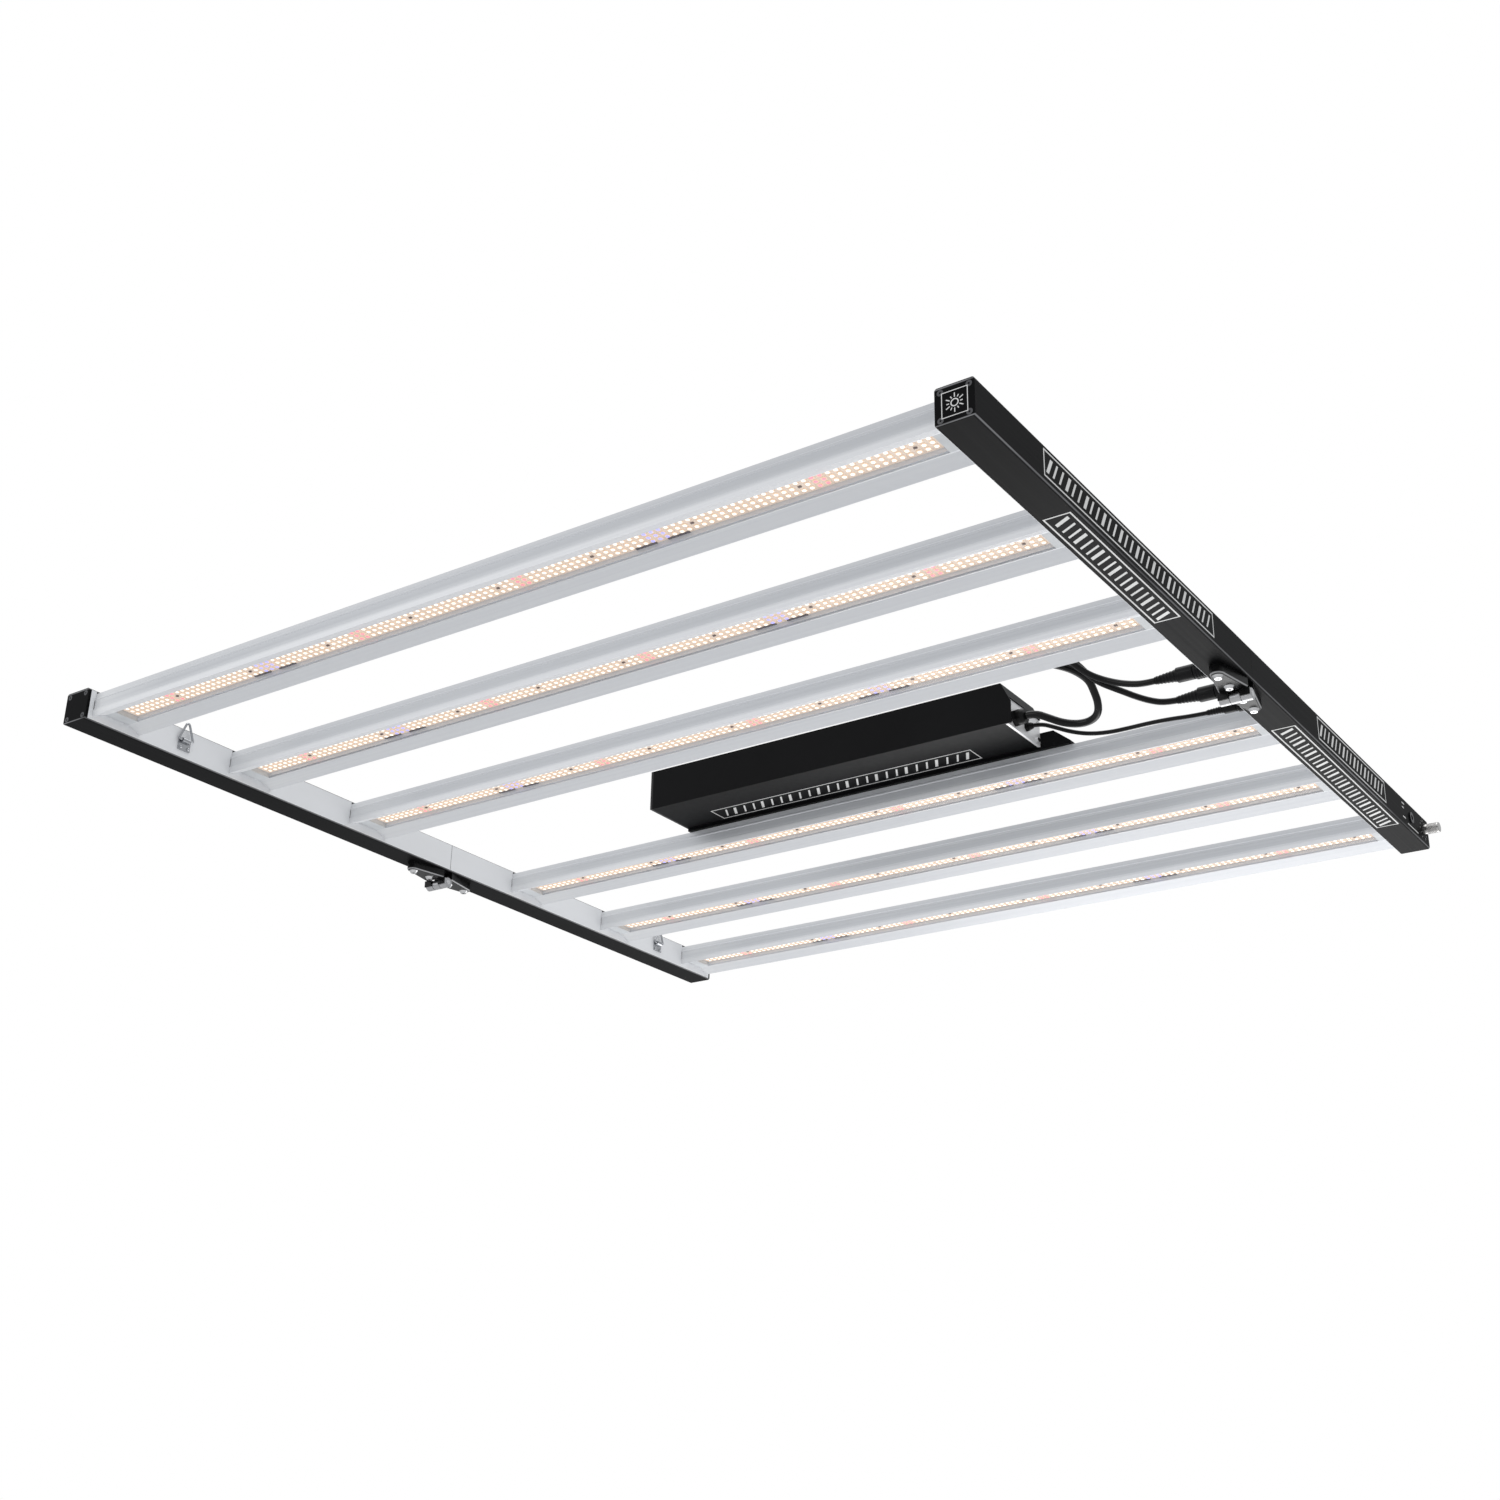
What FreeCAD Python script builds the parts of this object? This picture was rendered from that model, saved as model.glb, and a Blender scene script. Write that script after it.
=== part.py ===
"""Six-bar folding LED grow light.

Frame: +Z up, the LEDs face -Z, the bars run along X and the two side rails along Y. The fold
line is Y = 0: half A lies at Y < 0 and half B, which carries the driver, at Y > 0. The origin is
the bottom centre of the whole light, so Z = 0 is the underside of the hinge barrels. Sizes in mm.
"""
import FreeCAD, Part
import math
import os
import Sketcher

Vec = FreeCAD.Vector
doc = FreeCAD.newDocument("grow_light")
sheet = doc.addObject("Spreadsheet::Sheet", "Sizes")

DRIVING = {
    # frame
    "rail_span": 1076, "half_run": 550, "rail_size": 35, "rail_wall": 2, "rail_edge": 2.5,
    "screw_post": 6, "seam_gap": 0.1, "cap_thick": 3,
    # bars
    "bar_wide": 61, "bar_low": 5.7, "bar_high": 31, "near_bar": 144, "bar_pitch": 183.5,
    "channel_low": 12, "lip_half": 15.5, "lens_half": 14.5, "lens_thick": 1.5, "seat_half": 13,
    "seat_height": 18.9, "board_wide": 24.4, "board_thick": 1.6, "board_end": 17, "board_split": 1,
    "plug_long": 16, "fin_thick": 1.6, "fin_pitch": 7, "fin_floor": 21.6, "port_side": 20,
    "port_height": 15.3, "port_dia": 4,
    # hinges
    "barrel_dia": 12, "barrel_long": 33, "barrel_drop": 14.5, "knuckle_gap": 0.3,
    "leaf_thick": 10, "leaf_root": 7, "leaf_wide": 30, "leaf_tip_wide": 15, "leaf_long": 53,
    "pin_dia": 5.94, "pin_bore": 6, "leaf_screw_near": 17, "leaf_screw_far": 45,
    "leaf_screw_dia": 5, "leaf_head_dia": 10.5, "leaf_head_high": 3,
    # hangers
    "hang_from_end": 127, "ring_wide": 20, "ring_tall": 24, "ring_wire": 2.5, "ring_height": 20,
    "ring_off": 3.4, "saddle_long": 10,
    # driver
    "driver_left": 320, "driver_long": 475, "driver_near": 34, "driver_wide": 76,
    "driver_low": 34, "driver_high": 48, "driver_slope_long": 11, "driver_slope_high": 22, "driver_lip": 4, "driver_wall": 2, "plate_thick": 3,
    "plate_high": 31, "mount_long": 511, "mount_wide": 62, "mount_thick": 3, "mount_high": 16,
    # knob and connectors
    "knob_reach": 19, "knob_dia": 12, "knob_end": 19, "shaft_dia": 6, "nut_dia": 11,
    "connector_height": 17.5, "socket_flange": 3, "dc_plug_long": 56, "dc_plug_dia": 17.5,
    "dim_plug_long": 43, "dim_plug_dia": 12.5, "trunk_dia": 8.2, "dc_cable_dia": 6.6,
    "dim_cable_dia": 4.6,
    "socket_a": -12, "socket_b": 42, "socket_dim": 87, "jack_from_end": 65, "jack_dia": 13,
}
for row, (alias, value) in enumerate(DRIVING.items(), start=1):
    sheet.set("A%d" % row, alias)
    sheet.set("B%d" % row, str(value))
    sheet.setAlias("B%d" % row, alias)
doc.recompute()

size = {alias: float(sheet.get(alias)) for alias in DRIVING}

# Places worked out from the driving sizes.
LEFT = -(size["rail_span"] + size["knob_reach"]) / 2        # outer face of the left rail
RIGHT = LEFT + size["rail_span"]                            # outer face of the right rail
FLOOR = size["barrel_drop"] + size["barrel_dia"] / 2        # height of the rails' underside
LEFT_IN = LEFT + size["rail_size"]
RIGHT_IN = RIGHT - size["rail_size"]
BAR_LONG = RIGHT_IN - LEFT_IN
BAR_CENTRES = [side * (size["near_bar"] + k * size["bar_pitch"]) for side in (-1, 1) for k in range(3)]
BAR_CENTRES.sort()
RAIL_MIDDLES = {"left": LEFT + size["rail_size"] / 2, "right": RIGHT - size["rail_size"] / 2}
SIDES = {"a": -1, "b": 1}
DRIVER_LEFT = LEFT + size["driver_left"]
DRIVER_RIGHT = DRIVER_LEFT + size["driver_long"]
DRIVER_LOW = FLOOR + size["driver_low"]
DRIVER_FAR = size["driver_near"] + size["driver_wide"]
INLET_Y, INLET_Z = size["driver_near"] + 38, DRIVER_LOW + 15.5
KNOB_Y = size["half_run"] - size["knob_end"]
JACK_Y = size["half_run"] - size["jack_from_end"]
RAIL_MIDDLE_Z = FLOOR + size["rail_size"] / 2
TURN_TO_X = FreeCAD.Rotation(Vec(0, 1, 0), 90)
TURN_TO_Y = FreeCAD.Rotation(Vec(1, 0, 0), -90)
NO_TURN = FreeCAD.Rotation()
nodes = []


def keep(obj, label):
    """Mark an object as a finished sub-part; its label names its file."""
    obj.Label = label
    nodes.append(obj)
    return obj


def named(kind, name):
    return doc.addObject("Part::" + kind, name)


def bind(obj, **texts):
    """Bind an object's sizes to expressions on the sheet's aliases, written as plain words."""
    for prop, text in texts.items():
        words = []
        for word in text.split():
            words.append("Sizes." + word if word in DRIVING else word)
        obj.setExpression(prop, " ".join(words))
    return obj


def box(name, long, wide, high, corner):
    obj = bind(named("Box", name), Length=long, Width=wide, Height=high)
    obj.Placement = FreeCAD.Placement(Vec(*corner), NO_TURN)
    return obj


def rod(name, radius, high, base, turn=NO_TURN):
    obj = bind(named("Cylinder", name), Radius=radius, Height=high)
    obj.Placement = FreeCAD.Placement(Vec(*base), turn)
    return obj


def cone(name, first, second, high, base, turn=NO_TURN):
    obj = bind(named("Cone", name), Radius1=first, Radius2=second, Height=high)
    obj.Placement = FreeCAD.Placement(Vec(*base), turn)
    return obj


def fuse(name, pieces):
    obj = named("MultiFuse", name)
    obj.Shapes = pieces
    return obj


def cut(name, base, tools):
    obj = named("Cut", name)
    obj.Base = base
    obj.Tool = tools[0] if len(tools) == 1 else fuse(name + "_tools", tools)
    return obj


def group(name, pieces):
    """Separate solids that share one node, such as a set of screws."""
    obj = named("Compound", name)
    obj.Links = pieces
    return obj


def lines_sketch(body, name, plane, points, closed_by_arc=None):
    """A closed outline of straight lines, or with one last arc through a middle point."""
    sketch = body.newObject("Sketcher::SketchObject", name)
    origin = [f for f in body.Origin.OriginFeatures if f.Role == plane][0]
    sketch.AttachmentSupport = [(origin, "")]
    sketch.MapMode = "FlatFace"
    count = len(points)
    last = count - 1 if closed_by_arc else count
    for k in range(last):
        start, end = points[k], points[(k + 1) % count]
        sketch.addGeometry(Part.LineSegment(Vec(*start), Vec(*end)), False)
    for k in range(last - 1):
        sketch.addConstraint(Sketcher.Constraint("Coincident", k, 2, k + 1, 1))
    if closed_by_arc:
        arc = Part.Arc(Vec(*points[-1]), Vec(*closed_by_arc), Vec(*points[0]))
        sketch.addGeometry(arc, False)
    else:
        sketch.addConstraint(Sketcher.Constraint("Coincident", last - 1, 2, 0, 1))
    return sketch


def pad(body, sketch, name, length):
    obj = body.newObject("PartDesign::Pad", name)
    obj.Profile = sketch
    doc.recompute()
    return bind(obj, Length=length)


# ---------------------------------------------------------------- side rails
def rail(side_name, half):
    """Half of a side rail: a square tube with a screw port in each inner corner."""
    name = "%s_rail_%s" % (side_name, half)
    sign = SIDES[half]
    x = LEFT if side_name == "left" else RIGHT - size["rail_size"]
    run = "half_run - cap_thick - seam_gap"
    run_mm = size["half_run"] - size["cap_thick"] - size["seam_gap"]
    y = size["seam_gap"] if sign > 0 else -size["half_run"] + size["cap_thick"]
    outer = box(name + "_outer", "rail_size", run, "rail_size", (x, y, FLOOR))
    doc.recompute()
    rounded = named("Fillet", name + "_rounded")
    rounded.Base = outer
    long_edges = [k + 1 for k, edge in enumerate(outer.Shape.Edges) if abs(edge.Length - run_mm) < 0.01]
    rounded.Edges = [(k, size["rail_edge"], size["rail_edge"]) for k in long_edges]
    wall, post = size["rail_wall"], size["screw_post"]
    inner, arm = "rail_size - 2 * rail_wall", "rail_size - 2 * rail_wall - 2 * screw_post"
    flat = box(name + "_flat", inner, run, arm, (x + wall, y, FLOOR + wall + post))
    tall = box(name + "_tall", arm, run, inner, (x + wall + post, y, FLOOR + wall))
    tools = [flat, tall]
    middle = RAIL_MIDDLES[side_name]
    for k, alias in enumerate(("leaf_screw_near", "leaf_screw_far")):
        hole = rod("%s_leaf_hole%d" % (name, k), "leaf_screw_dia / 2 + 0.1", "rail_wall + 2",
                   (middle, sign * size[alias], FLOOR - 1))
        tools.append(hole)
    into_bar = x + size["rail_size"] - wall - 1 if side_name == "left" else x - 1
    for k, centre in enumerate(BAR_CENTRES):
        if centre * sign < 0:
            continue
        for side in (-1, 1):
            at = (into_bar, centre + side * size["port_side"], FLOOR + size["port_height"])
            tools.append(rod("%s_bar_hole%d%s" % (name, k, "nf"[side > 0]), "port_dia / 2 + 0.1",
                             "rail_wall + 2", at, TURN_TO_X))
        at = (into_bar, centre, FLOOR + size["fin_floor"] + 2)
        tools.append(rod("%s_wire_hole%d" % (name, k), "3", "rail_wall + 2", at, TURN_TO_X))
    end = sign * (size["half_run"] - size["cap_thick"])
    for cx, cz in corner_ports(middle):
        depth = 14
        tools.append(rod("%s_port_%d_%d" % (name, round(cx - LEFT), round(cz)), "1.55", "14",
                         (cx, min(end, end - sign * depth), cz), TURN_TO_Y))
    if side_name == "right":
        tools += socket_holes(half, x)
        if half == "b":
            tools.append(rod("pot_hole", "3.6", "rail_wall + 2",
                             (RIGHT - wall - 1, KNOB_Y, RAIL_MIDDLE_Z), TURN_TO_X))
            tools.append(rod("jack_hole", "jack_dia / 2 - 1.4", "rail_wall + 2",
                             (RIGHT - wall - 1, JACK_Y, FLOOR + size["connector_height"]), TURN_TO_X))
    return keep(cut(name, rounded, tools), name)


def corner_ports(middle):
    off = size["rail_size"] / 2 - size["rail_wall"] - size["screw_post"] / 2
    return [(middle + sx * off, RAIL_MIDDLE_Z + sz * off) for sx in (-1, 1) for sz in (-1, 1)]


def sockets_of(half):
    """Y places and barrel radii of the sockets on one half."""
    if half == "a":
        return [(size["socket_a"], 7)]
    return [(size["socket_b"], 7), (size["socket_dim"], 5)]


def socket_holes(half, x):
    return [rod("socket_hole_%d" % round(y + 100), "%g + 0.1" % r, "rail_wall + 2",
                (x - 1, y, FLOOR + size["connector_height"]), TURN_TO_X) for y, r in sockets_of(half)]


def end_cap(side_name, half):
    """A plate over the open end of a rail, held by four screws."""
    name = "%s_end_cap_%s" % (side_name, half)
    middle, sign = RAIL_MIDDLES[side_name], SIDES[half]
    outside = sign * size["half_run"]
    x = middle - size["rail_size"] / 2
    y = min(outside, outside - sign * size["cap_thick"])
    plate = box(name + "_plate", "rail_size", "cap_thick", "rail_size", (x, y, FLOOR))
    doc.recompute()
    rounded = named("Fillet", name + "_rounded")
    rounded.Base = plate
    short = [k + 1 for k, edge in enumerate(plate.Shape.Edges) if abs(edge.Length - size["cap_thick"]) < 0.01]
    rounded.Edges = [(k, size["rail_edge"], size["rail_edge"]) for k in short]
    tools = []
    for k, (cx, cz) in enumerate(corner_ports(middle)):
        tools.append(rod("%s_hole%d" % (name, k), "1.55", "cap_thick + 2", (cx, y - 1, cz), TURN_TO_Y))
        head_y = outside - 1.7 if sign > 0 else outside - 1
        tools.append(rod("%s_sink%d" % (name, k), "2.9", "2.7", (cx, head_y, cz), TURN_TO_Y))
    return keep(cut(name, rounded, tools), name)


def end_cap_screws(half):
    sign = SIDES[half]
    outside = sign * size["half_run"]
    screws = []
    for side_name, middle in RAIL_MIDDLES.items():
        for k, (cx, cz) in enumerate(corner_ports(middle)):
            name = "cap_screw_%s_%s%d" % (half, side_name, k)
            head = rod(name + "_head", "2.8", "1.6", (cx, min(outside, outside - sign * 1.6), cz), TURN_TO_Y)
            shank = rod(name + "_shank", "1.5", "12", (cx, min(outside, outside - sign * 12), cz), TURN_TO_Y)
            drive = box(name + "_drive", "1.6", "1", "1.6",
                        (cx - 0.8, min(outside, outside - sign), cz - 0.8))
            screws.append(cut(name, fuse(name + "_body", [head, shank]), [drive]))
    return keep(group("end_cap_screws_" + half, screws), "end_cap_screws_" + half)


# ---------------------------------------------------------------- bars
def bar_outline(centre):
    """Cross-section of a bar: sloped reflectors below, a lens channel, and cooling fins on top."""
    low, high = FLOOR + size["bar_low"], FLOOR + size["bar_high"]
    half, lip, lens = size["bar_wide"] / 2, size["lip_half"], size["lens_half"]
    mouth, seat = FLOOR + size["channel_low"], FLOOR + size["seat_height"]
    step = 0.6
    outside = [(size["seat_half"], seat), (size["seat_half"], mouth + size["lens_thick"]),
               (lens, mouth + size["lens_thick"]), (lens, mouth), (lip, mouth), (half, low),
               (half, low + 7), (half - step, low + 7 + step), (half - step, low + 17),
               (half, low + 17 + step), (half, low + 19), (half - 2 * step, low + 19 + 2 * step),
               (half - 2 * step, high)]
    thick, pitch, floor = size["fin_thick"], size["fin_pitch"], FLOOR + size["fin_floor"]
    first_fin = 3 * pitch + thick / 2
    gutter = FLOOR + 10.5
    fins = [(half - 2 * step - thick, high), (half - 2 * step - thick, gutter), (first_fin + thick, gutter)]
    for k in (3, 2, 1):
        edge = k * pitch + thick / 2
        foot = gutter if k == 3 else floor
        edge_out = edge + thick if k == 3 else edge
        fins += [(edge_out, foot), (edge_out, high), (edge - thick, high), (edge - thick, floor)]
    fins += [(thick / 2, floor), (thick / 2, high)]
    unique = []
    for point in outside + fins:
        if not unique or point != unique[-1]:
            unique.append(point)
    right = [(centre + y, z) for y, z in unique]
    left = [(centre - y, z) for y, z in reversed(unique)]
    return right + left


def bar(number, centre):
    name = "bar_%d" % number
    body = doc.addObject("PartDesign::Body", name + "_body")
    sketch = lines_sketch(body, name + "_section", "YZ_Plane",
                          [(y, z, 0) for y, z in bar_outline(centre)])
    pad(body, sketch, name + "_extrusion", "rail_span - 2 * rail_size")
    body.Placement = FreeCAD.Placement(Vec(LEFT_IN, 0, 0), NO_TURN)
    ports = []
    for x, end in ((LEFT_IN - 1, "left"), (RIGHT_IN - 15, "right")):
        for side in (-1, 1):
            at = (x, centre + side * size["port_side"], FLOOR + size["port_height"])
            ports.append(rod("%s_port_%s%s" % (name, end, "nf"[side > 0]), "port_dia / 2 + 0.05", "16",
                             at, TURN_TO_X))
    return keep(cut(name + "_bored", body, ports), name)


def bars_of(half):
    return [centre for centre in BAR_CENTRES if centre * SIDES[half] > 0]


def led_boards(half):
    """Two circuit boards end to end under each bar."""
    boards = []
    low = FLOOR + size["seat_height"] - size["board_thick"]
    middle = (LEFT_IN + RIGHT_IN + size["board_split"]) / 2
    for k, centre in enumerate(bars_of(half)):
        for side, x in enumerate((LEFT_IN + size["board_end"], middle)):
            long = "( rail_span - 2 * rail_size - 2 * board_end - board_split ) / 2"
            at = (x, centre - size["board_wide"] / 2, low)
            boards.append(box("board_%s%d_%d" % (half, k, side), long, "board_wide", "board_thick", at))
    return keep(group("led_boards_" + half, boards), "led_boards_" + half)


def lens_covers(half):
    covers = []
    for k, centre in enumerate(bars_of(half)):
        at = (LEFT_IN + size["plug_long"], centre - size["lens_half"], FLOOR + size["channel_low"])
        covers.append(box("cover_%s%d" % (half, k), "rail_span - 2 * rail_size - 2 * plug_long",
                          "2 * lens_half", "lens_thick", at))
    return keep(group("lens_covers_" + half, covers), "lens_covers_" + half)


def lens_end_plugs(half):
    """A rubber plug closes each end of a lens channel."""
    plugs = []
    for k, centre in enumerate(bars_of(half)):
        for x, end in ((LEFT_IN, "left"), (RIGHT_IN - size["plug_long"], "right")):
            name = "plug_%s%d_%s" % (half, k, end)
            at = (x, centre - size["lens_half"], FLOOR + size["channel_low"])
            sole = box(name + "_sole", "plug_long", "2 * lens_half", "lens_thick", at)
            above = FLOOR + size["channel_low"] + size["lens_thick"]
            core = box(name + "_core", "plug_long", "2 * seat_half", "seat_height - channel_low - lens_thick",
                       (x, centre - size["seat_half"], above))
            plugs.append(fuse(name, [sole, core]))
    return keep(group("lens_end_plugs_" + half, plugs), "lens_end_plugs_" + half)


def bar_screws(half):
    """Screws from inside each rail into the ends of the bars."""
    screws = []
    for k, centre in enumerate(bars_of(half)):
        for end, face, sign in (("left", LEFT_IN, 1), ("right", RIGHT_IN, -1)):
            for side in (-1, 1):
                name = "bar_screw_%s%d%s%s" % (half, k, end, "nf"[side > 0])
                y, z = centre + side * size["port_side"], FLOOR + size["port_height"]
                inner = face - sign * size["rail_wall"]
                shank = rod(name + "_shank", "port_dia / 2", "rail_wall + 12",
                            (min(inner, inner + sign * (size["rail_wall"] + 12)), y, z), TURN_TO_X)
                head = rod(name + "_head", "3.6", "2.4", (min(inner, inner - sign * 2.4), y, z), TURN_TO_X)
                screws.append(fuse(name, [shank, head]))
    return keep(group("bar_screws_" + half, screws), "bar_screws_" + half)


# ---------------------------------------------------------------- hinges
def leaf_outline(middle, sign):
    """Plan of a leaf: it narrows from the knuckles to a round tip."""
    wide, tip = size["leaf_wide"] / 2, size["leaf_tip_wide"] / 2
    root, far = sign * size["leaf_root"], sign * (size["leaf_long"] - tip)
    outline = [(middle - tip, far, 0), (middle - wide, root, 0), (middle + wide, root, 0), (middle + tip, far, 0)]
    return outline, (middle, far + sign * tip, 0)


def hinge_leaf(side_name, half):
    """A cast leaf under the rail; leaf A has the two outer knuckles, leaf B the middle one."""
    name = "%s_hinge_leaf_%s" % (side_name, half)
    middle, sign = RAIL_MIDDLES[side_name], SIDES[half]
    body = doc.addObject("PartDesign::Body", name + "_plate")
    outline, tip = leaf_outline(middle, sign)
    sketch = lines_sketch(body, name + "_plan", "XY_Plane", outline, closed_by_arc=tip)
    plate = pad(body, sketch, name + "_pad", "leaf_thick")
    doc.recompute()
    rounding = body.newObject("PartDesign::Fillet", name + "_rounding")
    under = [k + 1 for k, edge in enumerate(plate.Shape.Edges)
             if all(abs(v.Z) < 0.01 for v in edge.Vertexes) and abs(edge.CenterOfMass.y) > size["leaf_root"] + 1]
    rounding.Base = (plate, ["Edge%d" % k for k in under])
    rounding.Radius = 2.5
    body.Placement = FreeCAD.Placement(Vec(0, 0, FLOOR - size["leaf_thick"]), NO_TURN)
    start, third = middle - size["barrel_long"] / 2, size["barrel_long"] / 3
    gap, pieces = size["knuckle_gap"], [body]
    runs = [start, start + 2 * third] if half == "a" else [start + third]
    for k, x in enumerate(runs):
        long = "barrel_long / 3 - 2 * knuckle_gap"
        axis = (x + gap, 0, size["barrel_dia"] / 2)
        pieces.append(rod("%s_knuckle%d" % (name, k), "barrel_dia / 2", long, axis, TURN_TO_X))
        reach = size["leaf_root"] + 1
        corner = (x + gap, min(0, sign * reach), size["barrel_dia"] / 2 - 3)
        pieces.append(box("%s_web%d" % (name, k), long, "leaf_root + 1",
                          "barrel_drop - leaf_thick + 3", corner))
    tools = [rod(name + "_pin_bore", "pin_bore / 2", "barrel_long + 2",
                 (start - 1, 0, size["barrel_dia"] / 2), TURN_TO_X)]
    for k, alias in enumerate(("leaf_screw_near", "leaf_screw_far")):
        tools.append(rod("%s_hole%d" % (name, k), "leaf_screw_dia / 2 + 0.1", "leaf_thick + 2",
                         (middle, sign * size[alias], FLOOR - size["leaf_thick"] - 1)))
    return keep(cut(name, fuse(name + "_cast", pieces), tools), name)


def hinge_pins():
    pins = []
    for side_name, middle in RAIL_MIDDLES.items():
        start = middle - size["barrel_long"] / 2
        pins.append(rod(side_name + "_hinge_pin", "pin_dia / 2", "barrel_long",
                        (start, 0, size["barrel_dia"] / 2), TURN_TO_X))
    return keep(group("hinge_pins", pins), "hinge_pins")


def hinge_screws(half):
    """Button-head screws that hold the leaves under the rails."""
    screws, sign = [], SIDES[half]
    base = FLOOR - size["leaf_thick"]
    for side_name, middle in RAIL_MIDDLES.items():
        for k, alias in enumerate(("leaf_screw_near", "leaf_screw_far")):
            name = "leaf_screw_%s_%s%d" % (half, side_name, k)
            at = (middle, sign * size[alias], base - size["leaf_head_high"])
            head = cone(name + "_head", "leaf_head_dia / 2 - 1.8", "leaf_head_dia / 2", "leaf_head_high", at)
            shank = rod(name + "_shank", "leaf_screw_dia / 2", "leaf_thick + rail_wall + 3",
                        (at[0], at[1], base))
            hexagon = bind(named("Prism", name + "_hex"), Circumradius="1.7", Height="2")
            hexagon.Placement = FreeCAD.Placement(Vec(*at), NO_TURN)
            screws.append(cut(name, fuse(name + "_body", [head, shank]), [hexagon]))
    return keep(group("hinge_screws_" + half, screws), "hinge_screws_" + half)


# ---------------------------------------------------------------- hangers
def ring_axis(side_name, half):
    """Middle of a hanger ring's own pivot line, which runs along Y."""
    inward = 1 if side_name == "left" else -1
    face = LEFT_IN if side_name == "left" else RIGHT_IN
    y = SIDES[half] * (size["half_run"] - size["hang_from_end"])
    return Vec(face + inward * size["ring_off"], y, FLOOR + size["ring_height"]), inward


def hanger_brackets(half):
    """Pressed saddles on the inner faces of the rails, one for each ring."""
    brackets = []
    for side_name in RAIL_MIDDLES:
        axis, inward = ring_axis(side_name, half)
        name = "saddle_%s_%s" % (side_name, half)
        face = axis.x - inward * size["ring_off"]
        plate = box(name + "_plate", "1.5", "saddle_long + 6", "14",
                    (min(face, face + inward * 1.5), axis.y - size["saddle_long"] / 2 - 3, axis.z - 11))
        tube = rod(name + "_tube", "ring_wire / 2 + 1.35", "saddle_long",
                   (axis.x, axis.y - size["saddle_long"] / 2, axis.z), TURN_TO_Y)
        web = box(name + "_web", "2.4", "saddle_long", "3",
                  (min(face, face + inward * 2.4), axis.y - size["saddle_long"] / 2, axis.z - 3))
        parts = [plate, tube, web]
        for k, side in enumerate((-1, 1)):
            base = (face + inward * 1.5, axis.y + side * (size["saddle_long"] / 2), axis.z - 8)
            rivet = bind(named("Sphere", "%s_rivet%d" % (name, k)), Radius="1.9")
            rivet.Placement = FreeCAD.Placement(Vec(*base), NO_TURN)
            half_rivet = named("Common", "%s_rivet_dome%d" % (name, k))
            half_rivet.Base = rivet
            half_rivet.Tool = box("%s_rivet_side%d" % (name, k), "3", "8", "8",
                                  (min(face + inward, face + inward * 4), base[1] - 4, base[2] - 4))
            parts.append(half_rivet)
        bore = rod(name + "_bore", "ring_wire / 2 + 0.15", "saddle_long + 2",
                   (axis.x, axis.y - size["saddle_long"] / 2 - 1, axis.z), TURN_TO_Y)
        brackets.append(cut(name, fuse(name + "_body", parts), [bore]))
    return keep(group("hanger_brackets_" + half, brackets), "hanger_brackets_" + half)


def rounded_path(points, radii):
    """Straight runs joined by tangent arcs; radii holds one value for each inner point."""
    edges, here = [], points[0]
    for k in range(1, len(points) - 1):
        back = (points[k - 1] - points[k]).normalize()
        ahead = (points[k + 1] - points[k]).normalize()
        turn = math.pi - back.getAngle(ahead)
        reach = radii[k - 1] * math.tan(turn / 2)
        first, second = points[k] + back * reach, points[k] + ahead * reach
        centre_way = (back + ahead).normalize()
        top = points[k] + centre_way * (radii[k - 1] / math.cos(turn / 2) - radii[k - 1])
        edges.append(Part.LineSegment(here, first).toShape())
        edges.append(Part.Arc(first, top, second).toShape())
        here = second
    edges.append(Part.LineSegment(here, points[-1]).toShape())
    return Part.Wire(edges)


def hanger_ring(side_name, half):
    """A triangular wire ring that stands up from its saddle."""
    name = "%s_hanger_ring_%s" % (side_name, half)
    axis, _ = ring_axis(side_name, half)
    half_wide, tall, bend = size["ring_wide"] / 2, size["ring_tall"], 2.4
    foot_a, foot_b, apex = Vec(0, -half_wide, 0), Vec(0, half_wide, 0), Vec(0, 0, tall)
    loop = [Vec(0, 0, 0), foot_b, apex, foot_a, Vec(0, 0, 0)]
    path = rounded_path(loop, [bend, bend, bend])
    start = Part.Wire(Part.Circle(Vec(0, 0, 0), Vec(0, 1, 0), size["ring_wire"] / 2).toShape())
    obj = named("Feature", name)
    obj.Shape = path.makePipeShell([start], True, False)
    obj.Placement = FreeCAD.Placement(axis, NO_TURN)
    return keep(obj, name)


# ---------------------------------------------------------------- driver
def driver_end_x(side_name):
    """Outer face of the driver's end plate and the direction out of the driver."""
    return (DRIVER_LEFT, -1) if side_name == "left" else (DRIVER_RIGHT, 1)


def plate_screw_places():
    y0, y1 = size["driver_near"] + 6, size["driver_near"] + size["driver_wide"] - 6
    return [(y, DRIVER_LOW + z) for y in (y0, y1) for z in (6, size["plate_high"] - 6)]


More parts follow.
